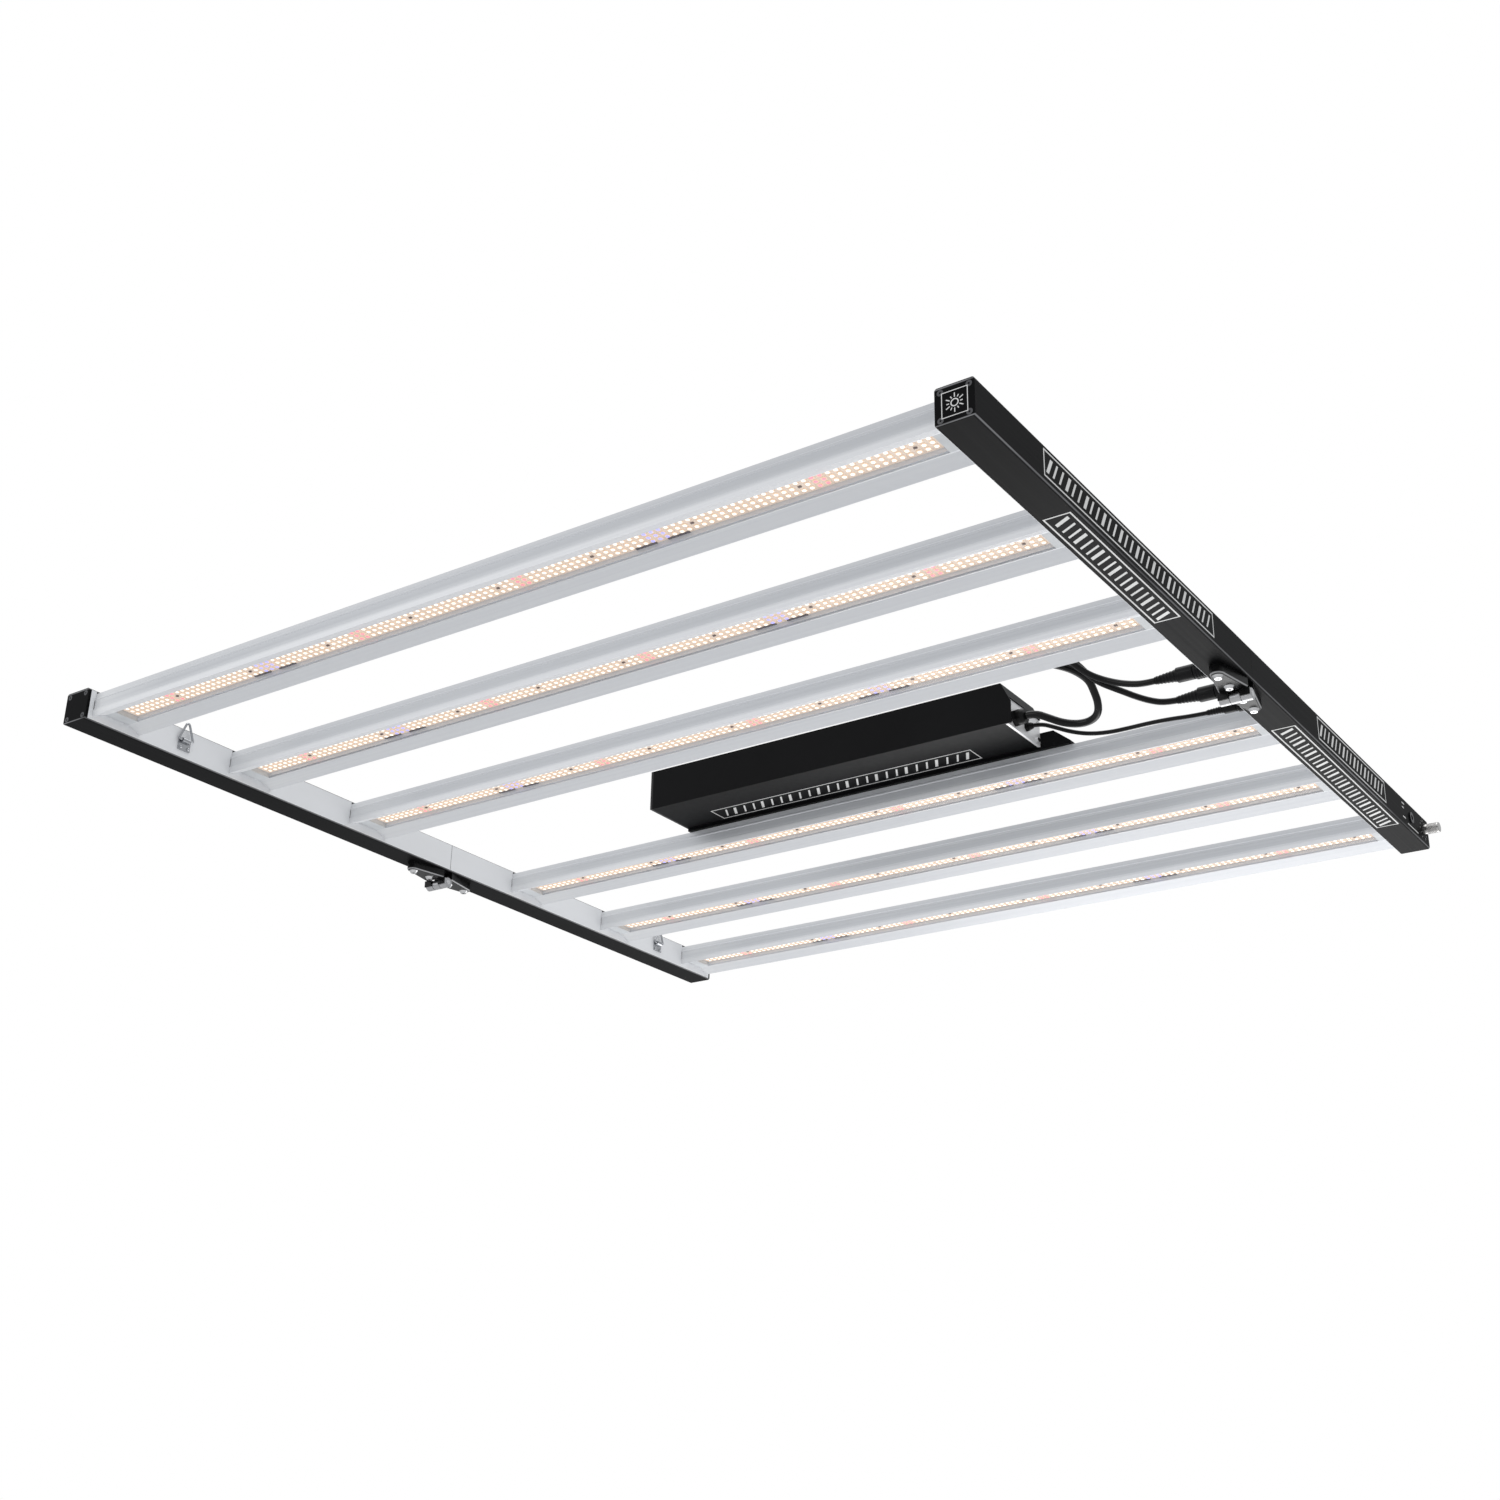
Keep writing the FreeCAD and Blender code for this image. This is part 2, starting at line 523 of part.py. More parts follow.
def driver_housing():
    """Black cover over a flat base, with a sloped top corner at the cable end."""
    thick, lip, wall = size["plate_thick"], size["driver_lip"], size["driver_wall"]
    start, top = DRIVER_LEFT + thick, DRIVER_LOW + size["driver_high"]
    block = box("housing_block", "driver_long - plate_thick + driver_lip", "driver_wide", "driver_high",
                (start, size["driver_near"], DRIVER_LOW))
    slope = box("housing_slope", "60", "driver_wide + 2", "40", (0, 0, 0))
    slope.Placement = FreeCAD.Placement(
        Vec(DRIVER_RIGHT + lip - size["driver_slope_long"], size["driver_near"] - 1, top),
        FreeCAD.Rotation(Vec(0, 1, 0), math.degrees(math.atan2(size["driver_slope_high"],
                                                               size["driver_slope_long"]))))
    pocket = box("housing_pocket", "plate_thick + driver_lip + 1", "driver_wide", "plate_high + 1",
                 (DRIVER_RIGHT - thick, size["driver_near"] + wall, DRIVER_LOW - 1))
    hollow = box("housing_hollow", "driver_long", "driver_wide - 2 * driver_wall",
                 "plate_high - 2 * driver_wall",
                 (DRIVER_LEFT, size["driver_near"] + wall, DRIVER_LOW + wall))
    attic = box("housing_attic", "driver_long - 2 * plate_thick - 2 * driver_wall - driver_slope_long - driver_lip",
                "driver_wide - 2 * driver_wall", "driver_high - 3 * driver_wall",
                (start + wall, size["driver_near"] + wall, DRIVER_LOW + 2 * wall))
    return keep(cut("driver_housing", block, [slope, pocket, hollow, attic]), "driver_housing")


def driver_end_plates():
    plates = []
    for side_name in ("left", "right"):
        name = "driver_end_plate_" + side_name
        outer, out = driver_end_x(side_name)
        x = min(outer, outer - out * size["plate_thick"])
        inset = 0 if side_name == "left" else size["driver_wall"]
        wide = "driver_wide" if side_name == "left" else "driver_wide - driver_wall"
        high = "driver_high" if side_name == "left" else "plate_high"
        plate = box(name + "_plate", "plate_thick", wide, high,
                    (x, size["driver_near"] + inset, DRIVER_LOW))
        tools = []
        for k, (y, z) in enumerate(plate_screw_places()):
            tools.append(rod("%s_hole%d" % (name, k), "1.6", "plate_thick + 2", (x - 1, y, z), TURN_TO_X))
            if side_name == "left":
                tools.append(rod("%s_sink%d" % (name, k), "2.8", "2.8", (outer - 1, y, z), TURN_TO_X))
        if side_name == "left":
            tools.append(rod(name + "_inlet_hole", "11.1", "plate_thick + 2", (x - 1, INLET_Y, INLET_Z), TURN_TO_X))
        plates.append(cut(name, plate, tools))
    return keep(group("driver_end_plates", plates), "driver_end_plates")


def driver_board():
    """The circuit board inside the driver, with its largest parts."""
    low = DRIVER_LOW + size["driver_wall"] + 2
    y = size["driver_near"] + 5
    board = box("board_sheet", "driver_long - 30", "driver_wide - 10", "1.6", (DRIVER_LEFT + 16, y, low))
    parts = [board]
    for k, (start, long, wide, high) in enumerate(((30, 34, 40, 20), (110, 26, 26, 18), (190, 60, 44, 21),
                                                   (300, 22, 22, 19), (360, 60, 36, 20))):
        parts.append(box("board_part%d" % k, str(long), str(wide), str(high),
                         (DRIVER_LEFT + start, y + 8, low + 1.6)))
    feet = [rod("board_foot%d" % k, "2.5", "2", (DRIVER_LEFT + x, y + 5, low - 2))
            for k, x in enumerate((25, 235, 450))]
    return keep(fuse("driver_board", parts + feet), "driver_board")


def foot_screw_places():
    """Screws through the lying leg of the mount into the top of the bar."""
    return [(DRIVER_LEFT + x, DRIVER_FAR + 36) for x in (30, 237, 445)]


def wall_screw_places():
    """Screws through the standing leg of the mount into the driver's wall."""
    return [(DRIVER_LEFT + x, DRIVER_LOW + 8) for x in (60, 237, 415)]


def driver_brackets():
    """An angle profile: one leg lies on the bar beside the fold, the other holds the driver's wall."""
    thick, low = size["mount_thick"], DRIVER_LOW - size["mount_thick"]
    lying = box("mount_lying", "mount_long", "mount_wide", "mount_thick", (DRIVER_LEFT, DRIVER_FAR, low))
    standing = box("mount_standing", "mount_long", "mount_thick", "mount_thick + mount_high",
                   (DRIVER_LEFT, DRIVER_FAR, low))
    bevel = box("mount_bevel", "40", "mount_thick + 2", "30", (0, 0, 0))
    slope = FreeCAD.Rotation(Vec(0, 1, 0), math.degrees(math.atan2(size["mount_high"], 20)))
    start = Vec(DRIVER_LEFT + size["mount_long"] - 20, DRIVER_FAR - 1, DRIVER_LOW + size["mount_high"])
    bevel.Placement = FreeCAD.Placement(start, slope)
    tools = [rod("foot_hole%d" % k, "2.1", "mount_thick + 2", (x, y, low - 1))
             for k, (x, y) in enumerate(foot_screw_places())]
    tools += [rod("wall_hole%d" % k, "2.1", "mount_thick + 2", (x, DRIVER_FAR - 1, z), TURN_TO_Y)
              for k, (x, z) in enumerate(wall_screw_places())]
    profile = fuse("mount_profile", [lying, cut("mount_wall", standing, [bevel])])
    return keep(cut("driver_brackets", profile, tools), "driver_brackets")


def driver_screws():
    """Screws of the end plates and of the mount."""
    screws = []
    for side_name in ("left", "right"):
        outer, out = driver_end_x(side_name)
        for k, (y, z) in enumerate(plate_screw_places()):
            name = "plate_screw_%s%d" % (side_name, k)
            head_x = outer if side_name == "right" else outer + 0.1
            head = rod(name + "_head", "2.7", "1.7", (head_x, y, z), TURN_TO_X)
            shank = rod(name + "_shank", "1.5", "plate_thick",
                        (min(outer, outer - out * size["plate_thick"]), y, z), TURN_TO_X)
            screws.append(fuse(name, [head, shank]))
    for k, (x, y) in enumerate(foot_screw_places()):
        name = "foot_screw%d" % k
        head = rod(name + "_head", "3.8", "2.6", (x, y, DRIVER_LOW))
        shank = rod(name + "_shank", "2", "mount_thick", (x, y, DRIVER_LOW - size["mount_thick"]))
        screws.append(fuse(name, [head, shank]))
    for k, (x, z) in enumerate(wall_screw_places()):
        name = "wall_screw%d" % k
        head = rod(name + "_head", "3.8", "2.6", (x, DRIVER_FAR + size["mount_thick"], z), TURN_TO_Y)
        shank = rod(name + "_shank", "2", "mount_thick", (x, DRIVER_FAR, z), TURN_TO_Y)
        screws.append(fuse(name, [head, shank]))
    return keep(group("driver_screws", screws), "driver_screws")


GLAND_LARGE = (DRIVER_RIGHT, size["driver_near"] + 18, DRIVER_LOW + 12)
GLAND_SMALL = (DRIVER_RIGHT, size["driver_near"] + 44, DRIVER_LOW + 11.5)


def driver_gland(name, place, nut, long):
    """A cable gland: a six-sided foot and a rounded clamping nut."""
    foot = bind(named("Prism", name + "_foot"), Circumradius=nut, Height="%g" % (0.35 * long))
    foot.Placement = FreeCAD.Placement(Vec(*place), TURN_TO_X)
    x, y, z = place
    collar = rod(name + "_collar", nut + " - 1.4", "%g" % (0.7 * long), (x, y, z), TURN_TO_X)
    tip = cone(name + "_tip", nut + " - 1.4", nut + " - 2.4", "%g" % (0.3 * long),
               (x + 0.7 * long, y, z), TURN_TO_X)
    return keep(fuse(name, [foot, collar, tip]), name)


def driver_mains_inlet():
    """The round socket that the mains lead plugs into, sunk into the end plate away from the glands."""
    shell = rod("inlet_shell", "11", "14", (DRIVER_LEFT, INLET_Y, INLET_Z), TURN_TO_X)
    flange = box("inlet_flange", "0.8", "26", "26", (DRIVER_LEFT - 0.8, INLET_Y - 13, INLET_Z - 13))
    recess = rod("inlet_recess", "8.5", "12", (DRIVER_LEFT - 1, INLET_Y, INLET_Z), TURN_TO_X)
    return keep(cut("driver_mains_inlet", fuse("inlet_body", [shell, flange]), [recess]), "driver_mains_inlet")


# ---------------------------------------------------------------- connectors and cables
def plug(name, y, long, dia, cable_dia):
    """A round cable plug: tapered strain relief, grip and locking collar."""
    end = RIGHT_IN - size["socket_flange"]
    start = end - long
    z = FLOOR + size["connector_height"]
    grip_start, grip_long = start + 0.4 * long, 0.34 * long
    relief = cone(name + "_relief", "%g" % (cable_dia / 2 + 0.8), "%g" % (dia / 2 - 2.5), "%g" % (0.4 * long),
                  (start, y, z), TURN_TO_X)
    grip = rod(name + "_grip", "%g" % (dia / 2 - 1), "%g" % grip_long, (grip_start, y, z), TURN_TO_X)
    collar_start = grip_start + grip_long
    collar = rod(name + "_collar", "%g" % (dia / 2), "%g" % (end - collar_start), (collar_start, y, z), TURN_TO_X)
    return keep(fuse(name, [relief, grip, collar]), name)


def sockets(half):
    """Panel sockets on the inner face of the right rail, and a small jack on its outer face."""
    pieces = []
    z = FLOOR + size["connector_height"]
    for y, radius in sockets_of(half):
        name = "socket_%s_%d" % (half, radius)
        flange = rod(name + "_flange", "%g" % (radius + 4), "socket_flange",
                     (RIGHT_IN - size["socket_flange"], y, z), TURN_TO_X)
        barrel = rod(name + "_barrel", "%g" % radius, "12", (RIGHT_IN, y, z), TURN_TO_X)
        nut = rod(name + "_nut", "%g" % (radius + 2), "3", (RIGHT_IN + size["rail_wall"], y, z), TURN_TO_X)
        pieces.append(fuse(name, [flange, barrel, nut]))
    if half == "b":
        flange = rod("jack_flange", "jack_dia / 2", "1.6", (RIGHT, JACK_Y, z), TURN_TO_X)
        barrel = rod("jack_barrel", "jack_dia / 2 - 1.5", "9", (RIGHT - 9, JACK_Y, z), TURN_TO_X)
        bore = rod("jack_bore", "3", "8", (RIGHT - 6, JACK_Y, z), TURN_TO_X)
        pieces.append(cut("jack", fuse("jack_body", [flange, barrel]), [bore]))
    return keep(group("sockets_" + half, pieces), "sockets_" + half)


def cable_route(points):
    """Points given as X from the left rail's outer face, Y, and Z above the rails' underside."""
    return [Vec(LEFT + x, y, FLOOR + z) for x, y, z in points]


def cable(name, points, dia):
    """A cable: straight runs joined by arcs as large as the runs allow."""
    route = cable_route(points)
    radii = []
    for k in range(1, len(route) - 1):
        before, after = route[k] - route[k - 1], route[k + 1] - route[k]
        turn = before.getAngle(after)
        radii.append(0.45 * min(before.Length, after.Length) / math.tan(turn / 2))
    path = rounded_path(route, radii)
    first = (route[1] - route[0]).normalize()
    circle = Part.Wire(Part.Circle(route[0], first, dia / 2).toShape())
    obj = named("Feature", name)
    obj.Shape = path.makePipeShell([circle], True, False)
    expected = math.pi * dia ** 2 / 4 * path.Length
    print(name, "length %.0f" % path.Length, "volume ratio %.4f" % (obj.Shape.Volume / expected),
          "radii", " ".join("%.0f" % r for r in radii))
    return keep(obj, name)


PLUG_START_DC = size["rail_span"] - size["rail_size"] - size["socket_flange"] - size["dc_plug_long"]
PLUG_START_DIM = size["rail_span"] - size["rail_size"] - size["socket_flange"] - size["dim_plug_long"]
GLAND_LONG, GLAND_LONG_SMALL = 13, 8
DC_GLAND_X = size["driver_left"] + size["driver_long"] + GLAND_LONG
DIM_GLAND_X = size["driver_left"] + size["driver_long"] + GLAND_LONG_SMALL
CZ = size["connector_height"]
JUNCTION = (855, -56, 50)            # low corner of the moulded junction
JUNCTION_SIZE = (25, 22, 14.5)

TRUNK_ROUTE = [
    (DC_GLAND_X, GLAND_LARGE[1], GLAND_LARGE[2] - FLOOR), (819, 52, 46), (832, 55, 39), (846, 60.5, 32),
    (861, 65, 28.5), (876, 64.5, 28), (889, 56, 30), (896, 42, 36), (898, 28, 44), (899, 16, 50),
    (895, 4, 54), (889, -8, 56.5), (881, -18, 58), (874, -27, 58.5), (870, -31.6, 58.4),
]
DC_ROUTE_A = [
    (881, -50, 56), (893, -48, 55), (902, -37, 51.5), (907, -24, 45.5), (914, -14.5, 40.5),
    (923, -10.5, 35.5), (934, -9, 30), (946, -8.5, 25), (959, -10, 20.5), (971, -12, CZ),
    (PLUG_START_DC, size["socket_a"], CZ),
]
DC_ROUTE_B = [
    (881, -41, 59), (892, -39.5, 59.5), (900, -29, 56.5), (904.5, -16, 51), (908, -3, 45.5),
    (916, 4, 38.5), (926.5, 8, 32.3), (937, 14, 27), (946, 23, 23), (957, 33, 19.5), (969, 40.5, CZ),
    (PLUG_START_DC, size["socket_b"], CZ),
]
DIM_ROUTE = [
    (DIM_GLAND_X, GLAND_SMALL[1], GLAND_SMALL[2] - FLOOR), (813, 78, 45), (827, 79, 38.5), (844, 83, 30.5),
    (863, 87, 25), (885, 89.5, 22.5), (909, 88, 21.5), (933, 85.5, 20.5), (957, 84.5, 19), (979, 86, CZ),
    (PLUG_START_DIM, size["socket_dim"], CZ),
]


def cable_junction():
    """The moulded block where the driver's one cable parts into a branch for each half."""
    x, y, z = JUNCTION
    long, wide, high = JUNCTION_SIZE
    block = box("junction_block", str(long), str(wide), str(high), (LEFT + x, y, FLOOR + z))
    rounded = named("Fillet", "junction_rounded")
    rounded.Base = block
    rounded.Edges = [(k, 3, 3) for k in range(1, 13)]
    sleeves = [("trunk", cable_route(TRUNK_ROUTE)[:-3:-1], "trunk_dia / 2 + 1.6"),
               ("a", cable_route(DC_ROUTE_A)[:2], "dc_cable_dia / 2 + 1"),
               ("b", cable_route(DC_ROUTE_B)[:2], "dc_cable_dia / 2 + 1")]
    reliefs = []
    for name, (end, beyond), radius in sleeves:
        inward = (end - beyond).normalize()
        reliefs.append(rod("junction_relief_" + name, radius, "8", tuple(end),
                           FreeCAD.Rotation(Vec(0, 0, 1), inward)))
    return keep(fuse("cable_junction", [rounded] + reliefs), "cable_junction")


# ---------------------------------------------------------------- dimmer and wiring
def dimmer_pot():
    """The dimmer inside the right rail, with its bush and shaft through the outer wall."""
    inner = RIGHT - size["rail_wall"]
    body = rod("pot_body", "8", "10", (inner - 10, KNOB_Y, RAIL_MIDDLE_Z), TURN_TO_X)
    bush = rod("pot_bush", "3.5", "rail_wall + 2.2", (inner, KNOB_Y, RAIL_MIDDLE_Z), TURN_TO_X)
    shaft = rod("pot_shaft", "shaft_dia / 2", "rail_wall + 18", (inner, KNOB_Y, RAIL_MIDDLE_Z), TURN_TO_X)
    return keep(fuse("dimmer_pot", [body, bush, shaft]), "dimmer_pot")


def dimmer_nut():
    prism = bind(named("Prism", "nut_prism"), Circumradius="nut_dia / 2", Height="2")
    prism.Placement = FreeCAD.Placement(Vec(RIGHT, KNOB_Y, RAIL_MIDDLE_Z), TURN_TO_X)
    bore = rod("nut_bore", "3.5", "4", (RIGHT - 1, KNOB_Y, RAIL_MIDDLE_Z), TURN_TO_X)
    return keep(cut("dimmer_nut", prism, [bore]), "dimmer_nut")


def dimmer_knob():
    """A slim metal knob with a knurled grip; it starts just past the nut."""
    gap, knurls = 2.4, 30
    body = rod("knob_body", "knob_dia / 2", "knob_reach - %g" % gap, (RIGHT + gap, KNOB_Y, RAIL_MIDDLE_Z), TURN_TO_X)
    doc.recompute()
    rim = named("Chamfer", "knob_rim")
    rim.Base = body
    outer = [k + 1 for k, edge in enumerate(body.Shape.Edges)
             if all(abs(v.X - RIGHT - size["knob_reach"]) < 0.01 for v in edge.Vertexes)]
    rim.Edges = [(k, 0.8, 0.8) for k in outer]
    bore = rod("knob_bore", "shaft_dia / 2 + 0.05", "18.4", (RIGHT, KNOB_Y, RAIL_MIDDLE_Z), TURN_TO_X)
    tools = [bore]
    for k in range(knurls):
        angle = 2 * math.pi * k / knurls
        away = size["knob_dia"] / 2 + 0.15
        at = (RIGHT + 5.5, KNOB_Y + away * math.cos(angle), RAIL_MIDDLE_Z + away * math.sin(angle))
        tools.append(rod("knurl%d" % k, "0.55", "knob_reach - 8", at, TURN_TO_X))
    return keep(cut("dimmer_knob", rim, tools), "dimmer_knob")


def rail_harness(half):
    """The wiring inside the right rail, from the socket past every bar of one half."""
    name, sign = "rail_harness_" + half, SIDES[half]
    x = RAIL_MIDDLES["right"] + 2
    far = sign * (size["half_run"] - 40)
    near = sign * 12
    trunk = rod(name + "_trunk", "3", "%g" % abs(far - near), (x, min(far, near), RAIL_MIDDLE_Z + 8), TURN_TO_Y)
    pieces = [trunk]
    for k, centre in enumerate(bars_of(half)):
        if abs(centre) > abs(far) - 3:
            continue
        z = FLOOR + size["fin_floor"] + 2
        pieces.append(rod("%s_tap%d" % (name, k), "1.6", "%g" % (x - RIGHT_IN), (RIGHT_IN, centre, z), TURN_TO_X))
    return keep(fuse(name, pieces), name)


# ---------------------------------------------------------------- assembly
for side in ("left", "right"):
    for part_half in ("a", "b"):
        rail(side, part_half)
        end_cap(side, part_half)
        hinge_leaf(side, part_half)
        hanger_ring(side, part_half)
hinge_pins()
for index, bar_centre in enumerate(BAR_CENTRES, start=1):
    bar(index, bar_centre)
for part_half in ("a", "b"):
    end_cap_screws(part_half)
    led_boards(part_half)
    lens_covers(part_half)
    lens_end_plugs(part_half)
    bar_screws(part_half)
    hinge_screws(part_half)
    hanger_brackets(part_half)
    sockets(part_half)
    rail_harness(part_half)
driver_housing()
driver_end_plates()
driver_board()
driver_brackets()
driver_screws()
driver_gland("driver_gland_large", GLAND_LARGE, "9.8", GLAND_LONG)
driver_gland("driver_gland_small", GLAND_SMALL, "5.4", GLAND_LONG_SMALL)
driver_mains_inlet()
plug("dc_plug_a", size["socket_a"], size["dc_plug_long"], size["dc_plug_dia"], size["dc_cable_dia"])
plug("dc_plug_b", size["socket_b"], size["dc_plug_long"], size["dc_plug_dia"], size["dc_cable_dia"])
plug("dimmer_plug", size["socket_dim"], size["dim_plug_long"], size["dim_plug_dia"], size["dim_cable_dia"])
cable_junction()
cable("dc_trunk_cable", TRUNK_ROUTE, size["trunk_dia"])
cable("dc_cable_a", DC_ROUTE_A, size["dc_cable_dia"])
cable("dc_cable_b", DC_ROUTE_B, size["dc_cable_dia"])
cable("dimmer_cable", DIM_ROUTE, size["dim_cable_dia"])
dimmer_pot()
dimmer_nut()
dimmer_knob()
doc.recompute()

for obj in doc.Objects:
    if "Invalid" in obj.State or "Error" in obj.State:
        raise RuntimeError("%s failed: %s" % (obj.Name, obj.State))
for obj in nodes:
    if obj.Shape.isNull() or not obj.Shape.isValid() or not obj.Shape.Solids:
        raise RuntimeError("%s has no valid solid" % obj.Label)
os.makedirs("parts", exist_ok=True)
for obj in nodes:
    obj.Shape.exportStep(os.path.join("parts", obj.Label + ".step"))
whole = Part.makeCompound([obj.Shape for obj in nodes]).BoundBox
print("nodes", len(nodes))
print("low  %.2f %.2f %.2f" % (whole.XMin, whole.YMin, whole.ZMin))
print("high %.2f %.2f %.2f" % (whole.XMax, whole.YMax, whole.ZMax))
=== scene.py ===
"""Looks of the folding LED grow light: materials, diodes, printed marks, cables, light and camera."""

import math

import bpy
from mathutils import Matrix, Vector


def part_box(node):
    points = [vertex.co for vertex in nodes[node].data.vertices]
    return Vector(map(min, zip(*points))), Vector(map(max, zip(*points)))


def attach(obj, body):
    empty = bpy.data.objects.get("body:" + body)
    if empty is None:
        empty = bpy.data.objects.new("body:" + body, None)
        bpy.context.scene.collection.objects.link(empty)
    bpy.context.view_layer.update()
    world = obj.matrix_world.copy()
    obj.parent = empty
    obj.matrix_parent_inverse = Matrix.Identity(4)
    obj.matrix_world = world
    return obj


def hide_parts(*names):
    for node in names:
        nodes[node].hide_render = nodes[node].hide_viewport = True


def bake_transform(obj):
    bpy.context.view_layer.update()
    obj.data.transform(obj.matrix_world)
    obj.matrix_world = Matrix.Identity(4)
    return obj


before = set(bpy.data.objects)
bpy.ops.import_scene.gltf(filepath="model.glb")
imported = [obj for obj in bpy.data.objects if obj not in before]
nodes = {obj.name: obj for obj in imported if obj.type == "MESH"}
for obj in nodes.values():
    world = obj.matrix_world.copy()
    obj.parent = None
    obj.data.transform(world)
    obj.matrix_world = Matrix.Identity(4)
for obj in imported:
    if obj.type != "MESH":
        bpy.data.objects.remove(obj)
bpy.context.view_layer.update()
MM = 0.001


def box_of(node):
    low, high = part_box(node)
    return Vector(low), Vector(high)


RAIL_LOW, RAIL_HIGH = box_of("right_rail_b")
LEFT_LOW, LEFT_HIGH = box_of("left_rail_b")
CAP_A_LOW, CAP_A_HIGH = box_of("right_end_cap_a")
LEFT = LEFT_LOW.x                    # outer face of the left rail
RIGHT = RAIL_HIGH.x                  # outer face of the right rail
LEFT_IN, RIGHT_IN = LEFT_HIGH.x, RAIL_LOW.x
FLOOR = RAIL_LOW.z                   # underside of the rails
RAIL_TOP = RAIL_HIGH.z
HALF_RUN = box_of("right_end_cap_b")[1].y     # from the fold to the outer face of an end cap
BARS = {number: box_of("bar_%d" % number) for number in range(1, 7)}
HALF_OF_BAR = {number: "a" if number <= 3 else "b" for number in BARS}
CHANNEL_HALF = 14.5 * MM             # from a bar's middle line to the inner walls of its channel


# ------------------------------------------------------------------ camera
def make_camera():
    """Below the light and in front of its near right corner, looking up."""
    azimuth, elevation, roll = math.radians(35.25), math.radians(-23.15), 0.0214
    back = Vector((math.sin(azimuth) * math.cos(elevation),
                   -math.cos(azimuth) * math.cos(elevation), math.sin(elevation)))
    level = Vector((math.cos(azimuth), math.sin(azimuth), 0))
    upright = back.cross(level)
    right = level * math.cos(roll) + upright * math.sin(roll)
    up = back.cross(right)
    data = bpy.data.cameras.new("camera")
    data.sensor_width = 36
    data.lens = 47.0
    data.clip_end = 50
    camera = bpy.data.objects.new("camera", data)
    bpy.context.collection.objects.link(camera)
    turn = Matrix((right, up, back)).transposed().to_4x4()
    camera.matrix_world = Matrix.Translation((LEFT + 1.6629, -1.6637, -0.7900)) @ turn
    bpy.context.scene.camera = camera


make_camera()


# ------------------------------------------------------------------ material helpers
class Look:
    """A node material with one Principled shader and short helpers for procedural detail."""

    def __init__(self, name, color, rough, metal=0.0, **sockets):
        self.mat = bpy.data.materials.new(name)
        self.mat.use_nodes = True
        self.tree = self.mat.node_tree
        self.shader = self.tree.nodes["Principled BSDF"]
        self.color = color
        self.rough = rough
        self.put("Base Color", (*color, 1))
        self.put("Roughness", rough)
        self.put("Metallic", metal)
        for key, value in sockets.items():
            self.put(key.replace("_", " "), value)
        self.coords = self.node("ShaderNodeTexCoord").outputs["Object"]

    def put(self, socket, value):
        self.shader.inputs[socket].default_value = value

    def node(self, kind, **settings):
        made = self.tree.nodes.new(kind)
        for key, value in settings.items():
            setattr(made, key, value)
        return made

    def link(self, start, end):
        self.tree.links.new(start, end)

    def stretched(self, scale):
        mapping = self.node("ShaderNodeMapping")
        mapping.inputs["Scale"].default_value = scale
        self.link(self.coords, mapping.inputs["Vector"])
        return mapping.outputs["Vector"]

    def noise(self, scale, stretch=(1, 1, 1), detail=3):
        made = self.node("ShaderNodeTexNoise")
        made.inputs["Scale"].default_value = scale
        made.inputs["Detail"].default_value = detail
        self.link(self.stretched(stretch), made.inputs["Vector"])
        return made.outputs["Fac"]

    def along(self, axis, low, high):
        """How far a point lies from low to high along a row axis, as 0 to 1."""
        split = self.node("ShaderNodeSeparateXYZ")
        self.link(self.coords, split.inputs["Vector"])
        ranged = self.node("ShaderNodeMapRange")
        ranged.inputs["From Min"].default_value = low
        ranged.inputs["From Max"].default_value = high
        self.link(split.outputs[axis], ranged.inputs["Value"])
        return ranged.outputs["Result"]

    def ramp(self, fac, stops):
        made = self.node("ShaderNodeValToRGB")
        elements = made.color_ramp.elements
        while len(elements) < len(stops):
            elements.new(0.5)
        for element, (at, color) in zip(elements, stops):
            element.position = at
            element.color = (*color, 1) if len(color) == 3 else color
        self.link(fac, made.inputs["Fac"])
        return made.outputs["Color"]

    def mix(self, fac, first, second, mode="MIX"):
        made = self.node("ShaderNodeMix", data_type="RGBA", blend_type=mode)
        for socket, value in ((0, fac), (6, first), (7, second)):
            if isinstance(value, (int, float)):
                made.inputs[socket].default_value = value
            elif isinstance(value, tuple):
                made.inputs[socket].default_value = (*value, 1)
            else:
                self.link(value, made.inputs[socket])
        return made.outputs[2]

    def vary_color(self, fac, dark=0.9, light=1.08):
        low = tuple(c * dark for c in self.color)
        high = tuple(min(1, c * light) for c in self.color)
        self.link(self.ramp(fac, [(0.3, low), (0.7, high)]), self.shader.inputs["Base Color"])
        return self

    def vary_rough(self, fac, spread=0.08):
        ranged = self.node("ShaderNodeMapRange")
        ranged.inputs["To Min"].default_value = self.rough - spread
        ranged.inputs["To Max"].default_value = self.rough + spread
        self.link(fac, ranged.inputs["Value"])
        self.link(ranged.outputs["Result"], self.shader.inputs["Roughness"])
        return self

    def bump(self, fac, strength, distance=0.0002):
        made = self.node("ShaderNodeBump")
        made.inputs["Strength"].default_value = strength
        made.inputs["Distance"].default_value = distance
        self.link(fac, made.inputs["Height"])
        self.link(made.outputs["Normal"], self.shader.inputs["Normal"])
        return self

    def glow(self, color, strength):
        """Give off light of one colour, or of the colour that a node's output paints."""
        if isinstance(color, tuple):
            self.put("Emission Color", (*color, 1))
        else:
            self.link(color, self.shader.inputs["Emission Color"])
        self.put("Emission Strength", strength)
        self.mat.cycles.emission_sampling = "NONE"
        return self


